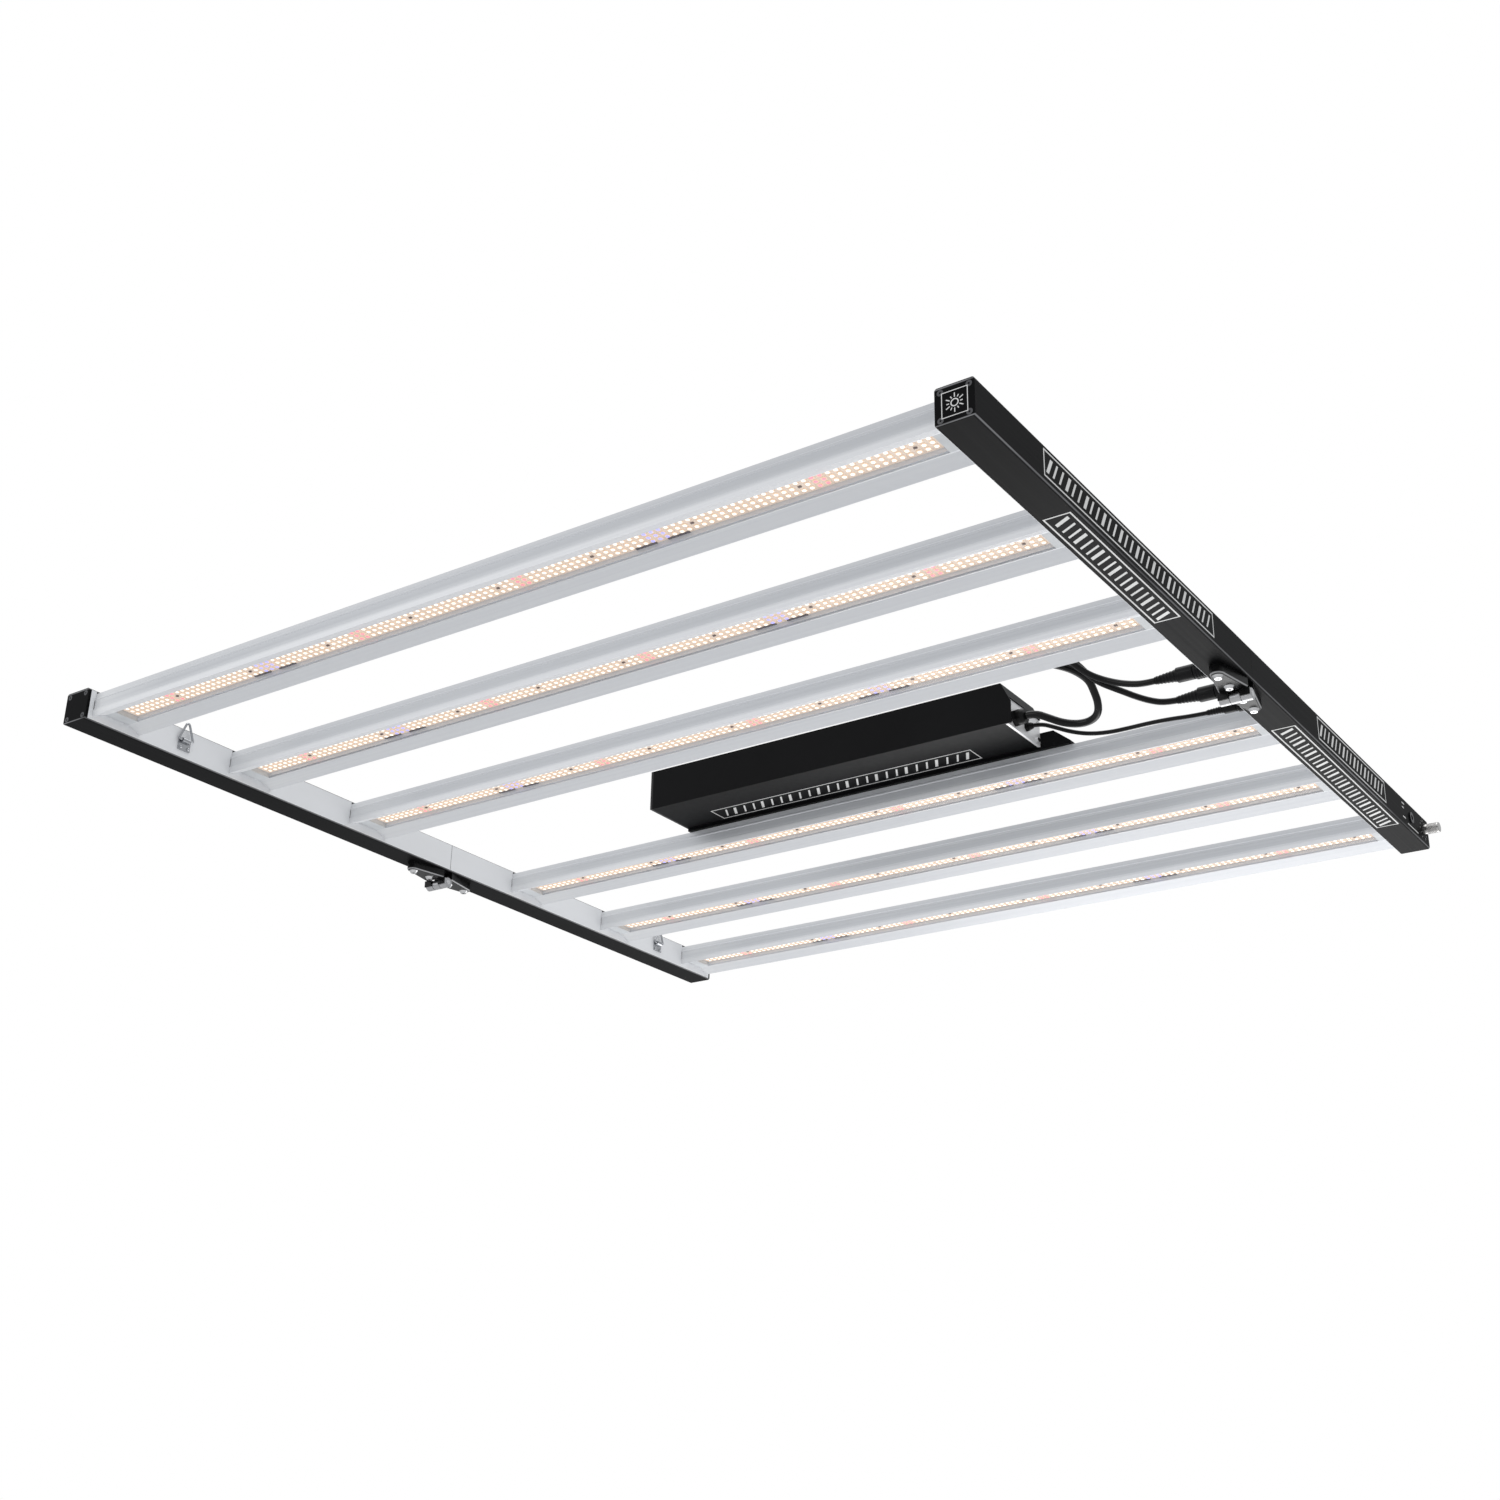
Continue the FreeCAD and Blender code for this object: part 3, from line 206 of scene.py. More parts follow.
# ------------------------------------------------------------------ materials
def anodised_black(name, run):
    """Satin black anodised aluminium: a faint drawn grain, and a painted highlight that makes the lower and upper
    edges lighter.
    """
    look = Look(name, (0.0042, 0.0042, 0.0047), 0.48, Specular_IOR_Level=0.045)
    stretch = (4, 900, 900) if run == "X" else (900, 4, 900)
    grain = look.noise(1.0, stretch, 2)
    drift = look.ramp(look.noise(9, detail=2), [(0.3, (0.0034, 0.0034, 0.0038)), (0.7, (0.0052, 0.0052, 0.0058))])
    high = RAIL_TOP - FLOOR
    stops = [(0.0, 0.0), (0.35, 0.0), (0.95, 1.0), (1.5, 0.75), (2.1, 0.0)]
    bands = [(at * MM / high, (value, value, value)) for at, value in stops]
    bands += [(1 - at * MM / high, (value, value, value)) for at, value in reversed(stops)]
    # painted highlight: lighter bands along the rails' lower and upper edges, standing in for light caught on the
    # rounded corners
    painted_edge_highlight = look.ramp(look.along("Z", FLOOR, RAIL_TOP), bands)
    # noise breaks the painted edge highlight into patches
    highlight_breakup = look.ramp(look.noise(1.0, (30, 6, 30), 3), [(0.35, (0.35, 0.35, 0.36)), (0.6, (1, 1, 1))])
    painted_edge_highlight = look.mix(1.0, painted_edge_highlight, highlight_breakup, "MULTIPLY")
    color = look.mix(painted_edge_highlight, drift, (0.30, 0.30, 0.31))
    look.link(color, look.shader.inputs["Base Color"])
    look.vary_rough(grain, 0.06)
    return look.bump(grain, 0.05, 0.0001).mat


BAR_OFFSET_FULL = 40 * MM             # the distance that bar_offset gives as 1


def bar_offset(look):
    """Distance from the middle line of whichever bar a point is on, over BAR_OFFSET_FULL."""
    centres = sorted((low.y + high.y) / 2 for number, (low, high) in BARS.items() if low.y > 0)
    first, pitch = centres[0], centres[1] - centres[0]
    split = look.node("ShaderNodeSeparateXYZ")
    look.link(look.coords, split.inputs["Vector"])
    fac = split.outputs["Y"]
    for operation, values in (("ABSOLUTE", ()), ("WRAP", (first + pitch / 2, first - pitch / 2)),
                              ("SUBTRACT", (first,)), ("ABSOLUTE", ()), ("DIVIDE", (BAR_OFFSET_FULL,))):
        made = look.node("ShaderNodeMath", operation=operation)
        look.link(fac, made.inputs[0])
        for k, value in enumerate(values, start=1):
            made.inputs[k].default_value = value
        fac = made.outputs["Value"]
    return fac


def bar_aluminium():
    """Satin silver extrusion: drawn grain along X, shading painted by height, paler wings and left ends as painted
    light, dim channel walls as painted shade, and a faint glow in the channels as painted light from the diodes.
    """
    look = Look("bar_aluminium", (0.60, 0.61, 0.63), 0.40, 0.18)
    grain = look.noise(1.0, (3, 700, 700), 2)
    low, high = BARS[1]
    # painted shade: lighter towards the bars' bottom, darkest a little above the middle height, standing in for the
    # light and shade on their walls
    painted_height_shade = look.ramp(look.along("Z", low.z, high.z),
                     [(0.0, (0.84, 0.85, 0.87)), (0.17, (0.82, 0.83, 0.85)), (0.31, (0.64, 0.655, 0.68)),
                      (0.48, (0.57, 0.585, 0.61)), (0.74, (0.62, 0.635, 0.66)), (1.0, (0.68, 0.69, 0.71))])
    # painted light: faces turned up or down, the wings, take one even paler colour in place of the shading by height
    facing = look.node("ShaderNodeSeparateXYZ")
    look.link(look.node("ShaderNodeTexCoord").outputs["Normal"], facing.inputs["Vector"])
    turned = look.node("ShaderNodeMath", operation="ABSOLUTE")
    look.link(facing.outputs["Z"], turned.inputs[0])
    wing = look.ramp(turned.outputs["Value"], [(0.3, (0, 0, 0)), (0.6, (1, 1, 1))])
    shape = look.mix(wing, painted_height_shade, (0.76, 0.775, 0.80))
    # painted light: the bars grow paler over the 110 mm next to the left rail
    painted_light_near_rail = look.ramp(look.along("X", LEFT_IN, LEFT_IN + 110 * MM),
                          [(0.0, (0.75, 0.75, 0.75)), (0.35, (0.4, 0.4, 0.4)), (1.0, (0, 0, 0))])
    band = look.mix(painted_light_near_rail, shape, (0.82, 0.83, 0.84))
    fade = 0.3 * MM
    # painted shade and light: the band within CHANNEL_HALF of each bar's middle line, its channel, gets a dimmer
    # colour as painted shade and a faint glow as painted light from the diodes
    inside = look.ramp(bar_offset(look), [(0.0, (1, 1, 1)), ((CHANNEL_HALF - fade) / BAR_OFFSET_FULL, (1, 1, 1)),
                                          ((CHANNEL_HALF + fade) / BAR_OFFSET_FULL, (0, 0, 0))])
    band = look.mix(inside, band, (0.58, 0.60, 0.63))
    look.glow(look.mix(inside, (0.0, 0.0, 0.0), (0.07, 0.075, 0.085)), 1.0)
    streaks = look.ramp(look.noise(1.0, (1.2, 260, 260), 3), [(0.3, (0.94, 0.94, 0.95)), (0.7, (1, 1, 1))])
    look.link(look.mix(1.0, band, streaks, "MULTIPLY"), look.shader.inputs["Base Color"])
    look.vary_rough(grain, 0.05)
    return look.bump(grain, 0.06, 0.0001).mat


def board_mask():
    """Solder mask warmed by a glow in its own colour, painted light from its own diodes, with faint copper traces
    under it.
    """
    look = Look("board_mask", (0.52, 0.42, 0.35), 0.5)
    traces = look.node("ShaderNodeTexWave", wave_type="BANDS", bands_direction="X", wave_profile="SAW")
    traces.inputs["Scale"].default_value = 22
    look.link(look.coords, traces.inputs["Vector"])
    soft = look.ramp(traces.outputs["Fac"], [(0.0, (0.46, 0.35, 0.27)), (0.1, (0.56, 0.45, 0.37)),
                                             (1.0, (0.53, 0.43, 0.35))])
    look.link(soft, look.shader.inputs["Base Color"])
    # painted light: the board glows as if lit by its own diodes
    look.glow(soft, 0.55)
    return look.bump(look.noise(900, detail=1), 0.1, 0.00005).mat


def chip_case():
    look = Look("chip_case", (0.66, 0.50, 0.37), 0.45)
    look.vary_color(look.noise(600), 0.94, 1.04)
    # painted light: the diode packages glow warm as if lit by their own diodes
    return look.glow((0.80, 0.58, 0.40), 0.50).mat


def phosphor(name, color, rim, strength):
    """A glowing diode face: bright in the middle and tinted at its edge by a fine mottling."""
    look = Look(name, color, 0.35)
    speckle = look.noise(1500, detail=2)
    tint = look.ramp(speckle, [(0.25, rim), (0.62, color)])
    look.link(tint, look.shader.inputs["Base Color"])
    return look.glow(tint, strength).mat


def clear_lens():
    """Thin clear cover: mostly see-through, with a faint grain along the extrusion."""
    look = Look("clear_lens", (0.95, 0.97, 1.0), 0.10, Alpha=0.045)
    grain = look.noise(1.0, (2, 500, 500), 2)
    look.vary_rough(grain, 0.04)
    look.bump(grain, 0.05, 0.0001)
    return look.mat


def moulded(name, color, rough, grain_scale=700, strength=0.25, **sockets):
    """Plastic or rubber with a fine moulded grain and slight colour drift."""
    look = Look(name, color, rough, **sockets)
    look.vary_color(look.noise(25), 0.88, 1.1)
    look.vary_rough(look.noise(120), 0.06)
    return look.bump(look.noise(grain_scale, detail=2), strength, 0.00012).mat


def metal(name, color, rough, stretch=(300, 300, 300), strength=0.08):
    look = Look(name, color, rough, 1.0)
    grain = look.noise(1.0, stretch, 3)
    look.vary_color(look.noise(40), 0.92, 1.05)
    look.vary_rough(grain, 0.05)
    return look.bump(grain, strength, 0.0001).mat


def cast_black():
    """Glossy black coat over cast metal, left bare and bright round the knuckles, with a painted highlight along the
    leaves' lower edges.
    """
    look = Look("cast_black", (0.006, 0.006, 0.0065), 0.30, Specular_IOR_Level=0.22)
    bare = look.ramp(look.along("Y", -10 * MM, 10 * MM),
                     [(0.0, (0, 0, 0)), (0.175, (0, 0, 0)), (0.19, (1, 1, 1)), (0.81, (1, 1, 1)), (0.825, (0, 0, 0))])
    paint = look.ramp(look.noise(60), [(0.3, (0.004, 0.004, 0.0045)), (0.7, (0.009, 0.009, 0.0095))])
    # painted highlight: a lighter band just above the hinge's underside, standing in for light on the leaves'
    # bevelled lower edges
    under = FLOOR - 10 * MM
    edge = look.ramp(look.along("Z", under, FLOOR), [(0.0, (0, 0, 0)), (0.03, (0, 0, 0)), (0.08, (1, 1, 1)),
                                                     (0.13, (1, 1, 1)), (0.20, (0, 0, 0))])
    paint = look.mix(edge, paint, (0.42, 0.42, 0.43))
    look.link(look.mix(bare, paint, (0.50, 0.50, 0.51)), look.shader.inputs["Base Color"])
    look.link(bare, look.shader.inputs["Metallic"])
    look.vary_rough(look.noise(200), 0.07)
    return look.bump(look.noise(550, detail=3), 0.45, 0.0002).mat


def powder_black(name, color=(0.0045, 0.0045, 0.005)):
    look = Look(name, color, 0.46, Specular_IOR_Level=0.07)
    look.vary_color(look.noise(12), 0.85, 1.2)
    look.vary_rough(look.noise(160), 0.05)
    return look.bump(look.noise(900, detail=2), 0.18, 0.0001).mat


def painted_reflection_white():
    # painted reflection: a pale finish on the rails' inner faces stands in for the bright light they reflect
    look = Look("painted_reflection_white", (0.84, 0.85, 0.87), 0.42, 0.10)
    grain = look.noise(1.0, (900, 3, 900), 2)
    look.vary_color(look.noise(3, detail=2), 0.95, 1.04)
    look.vary_rough(grain, 0.05)
    return look.bump(grain, 0.05, 0.0001).mat


def end_plate_silver():
    """Brushed end plates: bright at the cable end, blackened at the other."""
    look = Look("plate_silver", (0.90, 0.90, 0.91), 0.42, 0.35)
    low, high = box_of("driver_end_plates")
    ends = look.ramp(look.along("X", low.x, high.x), [(0.0, (0.012, 0.012, 0.013)), (0.45, (0.012, 0.012, 0.013)),
                                                      (0.55, (0.90, 0.90, 0.91)), (1.0, (0.90, 0.90, 0.91))])
    drift = look.ramp(look.noise(40), [(0.3, (0.93, 0.93, 0.93)), (0.7, (1, 1, 1))])
    look.link(look.mix(1.0, ends, drift, "MULTIPLY"), look.shader.inputs["Base Color"])
    grain = look.noise(1.0, (500, 4, 500), 3)
    look.vary_rough(grain, 0.05)
    return look.bump(grain, 0.08, 0.0001).mat


def socket_nickel():
    """Nickel sockets; the jack in the outer face is darker."""
    look = Look("socket_nickel", (0.30, 0.30, 0.31), 0.3, 1.0)
    outer = look.ramp(look.along("X", RIGHT - 12 * MM, RIGHT - 10 * MM),
                      [(0.0, (0.32, 0.32, 0.33)), (1.0, (0.05, 0.05, 0.055))])
    drift = look.ramp(look.noise(60), [(0.3, (0.85, 0.85, 0.85)), (0.7, (1, 1, 1))])
    look.link(look.mix(1.0, outer, drift, "MULTIPLY"), look.shader.inputs["Base Color"])
    look.vary_rough(look.noise(300), 0.06)
    return look.bump(look.noise(1.0, (400, 60, 60)), 0.08, 0.0001).mat


def circuit_green():
    look = Look("circuit_green", (0.02, 0.16, 0.07), 0.4)
    cells = look.node("ShaderNodeTexVoronoi", feature="DISTANCE_TO_EDGE")
    cells.inputs["Scale"].default_value = 180
    look.link(look.coords, cells.inputs["Vector"])
    lines = look.ramp(cells.outputs["Distance"], [(0.02, (0.05, 0.28, 0.12)), (0.08, (0.02, 0.14, 0.06))])
    look.link(lines, look.shader.inputs["Base Color"])
    return look.mat


MATERIALS = {
    "rail_black": anodised_black("rail_black", "Y"),
    "bar": bar_aluminium(),
    "board": board_mask(),
    "case": chip_case(),
    "warm": phosphor("warm_phosphor", (1.0, 0.955, 0.86), (1.0, 0.92, 0.77), 0.92),
    "red": phosphor("red_diode", (1.0, 0.26, 0.32), (1.0, 0.13, 0.20), 0.85),
    "blue": phosphor("blue_diode", (0.36, 0.40, 1.0), (0.30, 0.22, 0.95), 0.9),
    "lens": clear_lens(),
    "end_plug": moulded("end_plug", (0.62, 0.64, 0.66), 0.5),
    "cast": cast_black(),
    "screw": metal("screw_steel", (0.72, 0.72, 0.73), 0.24),
    "dark_screw": metal("dark_screw", (0.10, 0.10, 0.105), 0.30),
    "wire": metal("bright_wire", (0.44, 0.45, 0.47), 0.08, (90, 90, 90), 0.30),
    "driver": powder_black("driver_black"),
    "plate": end_plate_silver(),
    "circuit": circuit_green(),
    "gland": moulded("gland_black", (0.005, 0.005, 0.0055), 0.33, Specular_IOR_Level=0.16),
    "socket": socket_nickel(),
    "knob": metal("knob_metal", (0.55, 0.54, 0.53), 0.24, (60, 500, 500)),
    "cable": moulded("cable_jacket", (0.004, 0.004, 0.0045), 0.20, 260, 0.06, Specular_IOR_Level=0.22),
    "plug": moulded("plug_black", (0.005, 0.005, 0.0055), 0.32, 500, 0.15, Specular_IOR_Level=0.16),
    "print": moulded("print_white", (0.82, 0.82, 0.81), 0.6, 900, 0.1),
    "painted_reflection": painted_reflection_white(),
    "brown": moulded("brown_part", (0.10, 0.045, 0.028), 0.5),
    "dark_part": moulded("dark_part", (0.05, 0.035, 0.05), 0.4),
}


def dress(material, *names):
    for name in names:
        mesh = nodes[name].data
        mesh.materials.clear()
        mesh.materials.append(MATERIALS[material])


def dress_cad_nodes():
    for side in ("left", "right"):
        for half in ("a", "b"):
            dress("rail_black", "%s_rail_%s" % (side, half), "%s_end_cap_%s" % (side, half))
            dress("cast", "%s_hinge_leaf_%s" % (side, half))
            dress("wire", "%s_hanger_ring_%s" % (side, half))
    for number in BARS:
        dress("bar", "bar_%d" % number)
    for half in ("a", "b"):
        dress("dark_screw", "end_cap_screws_" + half)
        dress("screw", "bar_screws_" + half, "hinge_screws_" + half)
        dress("board", "led_boards_" + half)
        dress("lens", "lens_covers_" + half)
        dress("end_plug", "lens_end_plugs_" + half)
        dress("wire", "hanger_brackets_" + half)
        dress("socket", "sockets_" + half)
        dress("cable", "rail_harness_" + half)
    dress("screw", "hinge_pins")
    dress("plate", "driver_end_plates")
    dress("driver", "driver_housing", "driver_brackets")
    dress("plug", "cable_junction")
    dress("circuit", "driver_board")
    dress("screw", "driver_screws", "dimmer_pot")
    dress("gland", "driver_gland_large", "driver_gland_small", "driver_mains_inlet")
    dress("knob", "dimmer_knob", "dimmer_nut")


dress_cad_nodes()


# ------------------------------------------------------------------ mesh helpers
def add_mesh(name, verts, faces, materials, face_materials=None):
    mesh = bpy.data.meshes.new(name)
    mesh.from_pydata(verts, [], faces)
    for key in materials:
        mesh.materials.append(MATERIALS[key])
    if face_materials:
        mesh.polygons.foreach_set("material_index", face_materials)
    mesh.update()
    piece = bpy.data.objects.new(name, mesh)
    bpy.context.collection.objects.link(piece)
    return piece


def add_box(verts, faces, low, high):
    """Append one closed box to running lists of corners and faces."""
    first = len(verts)
    for x in (low[0], high[0]):
        for y in (low[1], high[1]):
            for z in (low[2], high[2]):
                verts.append((x, y, z))
    for a, b, c, d in ((0, 1, 3, 2), (4, 6, 7, 5), (0, 4, 5, 1), (2, 3, 7, 6), (0, 2, 6, 4), (1, 5, 7, 3)):
        faces.append((first + a, first + b, first + c, first + d))


def smooth_by_angle(piece, degrees=35):
    for polygon in piece.data.polygons:
        polygon.use_smooth = True
    piece.data.set_sharp_from_angle(angle=math.radians(degrees))


# ------------------------------------------------------------------ diodes
COLUMNS, COLUMN_START, COLUMN_END = 124, 24 * MM, 24 * MM     # distances in from the rails
ROW_PITCH = 6.8 * MM
RED_AT, BLUE_AT = (0.07, 0.345, 0.555, 0.89), (0.212, 0.715)    # as parts of the run of columns
RED_REACH, BLUE_REACH = 0.9, 1.35                             # in columns
REGULATOR_FIRST, REGULATOR_EVERY = 9, 14                      # columns whose middle diode gives way
CHIP_HALF, CHIP_HIGH = 2.3 * MM, 0.7 * MM
FACE_RADIUS = 1.95 * MM


def chip_kind(column):
    part = column / (COLUMNS - 1)
    for kind, places, reach in (("red", RED_AT, RED_REACH), ("blue", BLUE_AT, BLUE_REACH)):
        if any(abs(part - at) < reach / COLUMNS for at in places):
            return kind
    return "warm"


def add_case(verts, faces, x, y, z):
    """A small square package with chamfered corners, hanging under the board."""
    first, cut = len(verts), 0.35 * MM
    ring = [(-1, -1), (1, -1), (1, 1), (-1, 1)]
    outline = []
    for k, (sx, sy) in enumerate(ring):
        ex, ey = (0, cut) if k % 2 == 0 else (cut, 0)
        outline.append((sx * (CHIP_HALF - ex), sy * (CHIP_HALF - ey)))
        outline.append((sx * (CHIP_HALF - ey), sy * (CHIP_HALF - ex)))
    for level, shrink in ((0, 1.0), (-CHIP_HIGH * 0.75, 1.0), (-CHIP_HIGH, 0.9)):
        for px, py in outline:
            verts.append((x + px * shrink, y + py * shrink, z + level))
    for level in range(2):
        for k in range(8):
            a, b = first + level * 8 + k, first + level * 8 + (k + 1) % 8
            faces.append((a, a + 8, b + 8, b))
    faces.append(tuple(first + k for k in range(8)))
    faces.append(tuple(first + 16 + k for k in reversed(range(8))))


def add_face(verts, faces, x, y, z):
    """The domed phosphor face of a diode, a closed low cap."""
    first, sides = len(verts), 10
    levels = ((0, 1.0), (-0.16 * MM, 0.94), (-0.26 * MM, 0.55))
    for drop, shrink in levels:
        for k in range(sides):
            angle = 2 * math.pi * k / sides
            verts.append((x + FACE_RADIUS * shrink * math.cos(angle),
                          y + FACE_RADIUS * shrink * math.sin(angle), z + drop))
    for level in range(2):
        for k in range(sides):
            a = first + level * sides + k
            b = first + level * sides + (k + 1) % sides
            faces.append((a, a + sides, b + sides, b))
    faces.append(tuple(first + k for k in range(sides)))
    faces.append(tuple(first + 2 * sides + k for k in reversed(range(sides))))


def make_diodes(half):
    """All diodes of one half: packages in one piece and the glowing faces in one piece per colour."""
    board_low = box_of("led_boards_" + half)[0].z
    cases, lit = ([], []), {"warm": ([], []), "red": ([], []), "blue": ([], [])}
    start, end = LEFT_IN + COLUMN_START, RIGHT_IN - COLUMN_END
    for number, (low, high) in BARS.items():
        if HALF_OF_BAR[number] != half:
            continue
        middle = (low.y + high.y) / 2
        for column in range(COLUMNS):
            x = start + (end - start) * column / (COLUMNS - 1)
            for row in (-1, 0, 1):
                y = middle + row * ROW_PITCH
                if row == 0 and column % REGULATOR_EVERY == REGULATOR_FIRST:
                    continue
                add_case(*cases, x, y, board_low)
                add_face(*lit[chip_kind(column)], x, y, board_low - CHIP_HIGH + 0.02 * MM)
    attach(add_mesh("led_packages_" + half, *cases, ["case"]), "half_" + half)
    for kind, lists in lit.items():
        piece = add_mesh("led_faces_%s_%s" % (kind, half), *lists, [kind])
        smooth_by_angle(piece, 50)
        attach(piece, "half_" + half)


def make_board_parts(half):
    """Small regulators between the diodes and the dark parts along the far edge at the blue diodes."""
    board_low = box_of("led_boards_" + half)[0].z
    verts, faces, kinds = [], [], []
    start, end = LEFT_IN + COLUMN_START, RIGHT_IN - COLUMN_END
    for number, (low, high) in BARS.items():
        if HALF_OF_BAR[number] != half:
            continue
        middle = (low.y + high.y) / 2
        for column in range(REGULATOR_FIRST, COLUMNS, REGULATOR_EVERY):
            x = start + (end - start) * column / (COLUMNS - 1)
            add_box(verts, faces, (x - 1.5 * MM, middle - 1.1 * MM, board_low - 0.9 * MM),
                    (x + 1.5 * MM, middle + 1.1 * MM, board_low))
            kinds += [0] * 6
        for at in BLUE_AT:
            x = start + (end - start) * at
            for step in range(-7, 8):
                if abs(step) < 2:
                    continue
                at_x = x + step * 3.9 * MM
                add_box(verts, faces, (at_x - 1.7 * MM, middle + 9.6 * MM, board_low - 0.9 * MM),
                        (at_x + 1.7 * MM, middle + 11.9 * MM, board_low))
                kinds += [1] * 6
    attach(add_mesh("board_parts_" + half, verts, faces, ["brown", "dark_part"], kinds), "half_" + half)


for part_half in ("a", "b"):
    make_diodes(part_half)
    make_board_parts(part_half)


# ------------------------------------------------------------------ painted reflection on the rails' inner faces
def painted_reflection_outline(spans, end):
    """Outline of one painted-reflection strip from the fold outwards, in distance from the fold and height: it runs
    along under the bars and is cut away round each bar's own section."""
    edge, slack = 1.6 * MM, 0.08 * MM
    low, high, start = FLOOR + edge, RAIL_TOP - edge, 0.35 * MM
    wing, mouth, lip = BARS[1][0].z - slack, FLOOR + 12 * MM - slack, 15.5 * MM
    shoulder, recess = BARS[1][0].z + 20.2 * MM, 1.1 * MM
    points = [(start, low), (end, low), (end, high)]
    for near, far in reversed(spans):
        middle = (near + far) / 2
        points += [(far - recess, high), (far - recess, shoulder), (far + slack, shoulder - recess),
                   (far + slack, wing), (middle + lip, mouth), (middle - lip, mouth), (near - slack, wing),
                   (near - slack, shoulder - recess), (near + recess, shoulder), (near + recess, high)]
    return points + [(start, high)]


def make_painted_reflections():
    """A white strip on each rail's inner face, inset from its edges and notched round the bars: painted reflection of
    the bright light that the face reflects.
    """
    proud = 0.25 * MM
    for side, face, inward in (("left", LEFT_IN, 1), ("right", RIGHT_IN, -1)):
        for half, sign in (("a", -1), ("b", 1)):
            spans = sorted(tuple(sorted((abs(low.y), abs(high.y)))) for number, (low, high) in BARS.items()
                           if HALF_OF_BAR[number] == half)
            outline = painted_reflection_outline(spans, HALF_RUN - 3.3 * MM)
            if sign * inward < 0:
                outline.reverse()
            count = len(outline)
            verts = [(x, sign * run, z) for x in (face, face + inward * proud) for run, z in outline]
            faces = [tuple(reversed(range(count))), tuple(range(count, 2 * count))]
            faces += [(k, (k + 1) % count, count + (k + 1) % count, count + k) for k in range(count)]
            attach(add_mesh("%s_rail_liner_%s" % (side, half), verts, faces, ["painted_reflection"]), "half_" + half)


make_painted_reflections()


# ------------------------------------------------------------------ printed marks
PRINT_HIGH = 0.06 * MM


class Sheet:
    """A flat area on the object where marks are printed: an origin, two directions and a normal."""

    def __init__(self, origin, across, up):
        self.origin, self.across, self.up = Vector(origin), Vector(across), Vector(up)
        self.normal = self.across.cross(self.up)
        self.verts, self.faces = [], []

    def point(self, u, v, lift):
        return tuple(self.origin + self.across * u + self.up * v + self.normal * lift)

    def stroke(self, corners):
        """A printed patch with four or more corners, given in turn, as a closed thin prism."""
        first, count = len(self.verts), len(corners)
        for lift in (-PRINT_HIGH / 2, PRINT_HIGH):
            self.verts += [self.point(u, v, lift) for u, v in corners]
        self.faces.append(tuple(first + k for k in reversed(range(count))))
        self.faces.append(tuple(first + count + k for k in range(count)))
        for k in range(count):
            a, b = first + k, first + (k + 1) % count
            self.faces.append((a, b, b + count, a + count))

    def outline(self, wide, high, line):
        for u0, v0, u1, v1 in ((0, 0, wide, line), (0, high - line, wide, high),
                               (0, line, line, high - line), (wide - line, line, wide, high - line)):
            self.stroke([(u0, v0), (u1, v0), (u1, v1), (u0, v1)])

    def hatching(self, wide, high, line, count):
        """Slanted strokes, every third one broad, between the outline's ends."""
        margin = high * 0.2
        pitch = (wide - 2 * margin) / count
        lean = high * 0.16
        for k in range(count):
            u = margin + pitch * (k + 0.25)
            broad = line * (3.1 if k % 3 == 0 else 2.0)
            self.stroke([(u - lean, margin), (u - lean + broad, margin),
                         (u + lean + broad, high - margin), (u + lean, high - margin)])

    def ring(self, u, v, radius, line, start=0.0, sweep=360.0, steps=28):
        for k in range(steps):
            angles = [math.radians(start + sweep * (k + j) / steps) for j in (0, 1)]
            corners = [(u + r * math.cos(a), v + r * math.sin(a))
                       for r, a in ((radius - line, angles[0]), (radius, angles[0]),
                                    (radius, angles[1]), (radius - line, angles[1]))]
            self.stroke(corners)

    def spoke(self, u, v, inner, outer, degrees, line):
        a = math.radians(degrees)
        along, side = Vector((math.cos(a), math.sin(a))), Vector((-math.sin(a), math.cos(a))) * line / 2
        middle = Vector((u, v))
        corners = [middle + along * inner - side, middle + along * outer - side,
                   middle + along * outer + side, middle + along * inner + side]
        self.stroke([tuple(c) for c in corners])

    def make(self, name, body, material="print"):
        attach(add_mesh(name, self.verts, self.faces, [material]), body)


def framed_hatching(name, body, origin, across, up, wide, high, line, count):
    area = Sheet(origin, across, up)
    area.outline(wide, high, line)
    area.hatching(wide, high, line, count)
    area.make(name, body)


def make_prints():
    """Plain framed hatchings stand where the maker's words would be printed."""
    strip, line = 25.5 * MM, 1.5 * MM
    side_z = FLOOR + 5.2 * MM
    framed_hatching("side_print_a", "half_a", (RIGHT, -0.437, side_z), (0, 1, 0), (0, 0, 1), 0.344, strip, line, 30)
    framed_hatching("side_print_b", "half_b", (RIGHT, 0.182, side_z), (0, 1, 0), (0, 0, 1), 0.213, strip, line, 18)
    under_x = RIGHT_IN + 5 * MM
    framed_hatching("under_print_a", "half_a", (under_x, -0.160, FLOOR), (0, -1, 0), (1, 0, 0),
                    0.222, strip, line, 19)
    framed_hatching("under_print_b", "half_b", (under_x, 0.451, FLOOR), (0, -1, 0), (1, 0, 0),
                    0.326, strip, line, 28)
    low, high = box_of("driver_housing")
    framed_hatching("driver_print", "half_b", (high.x - 72 * MM, low.y + 42 * MM, low.z), (-1, 0, 0), (0, 1, 0),
                    0.349, 28 * MM, 1.2 * MM, 26)


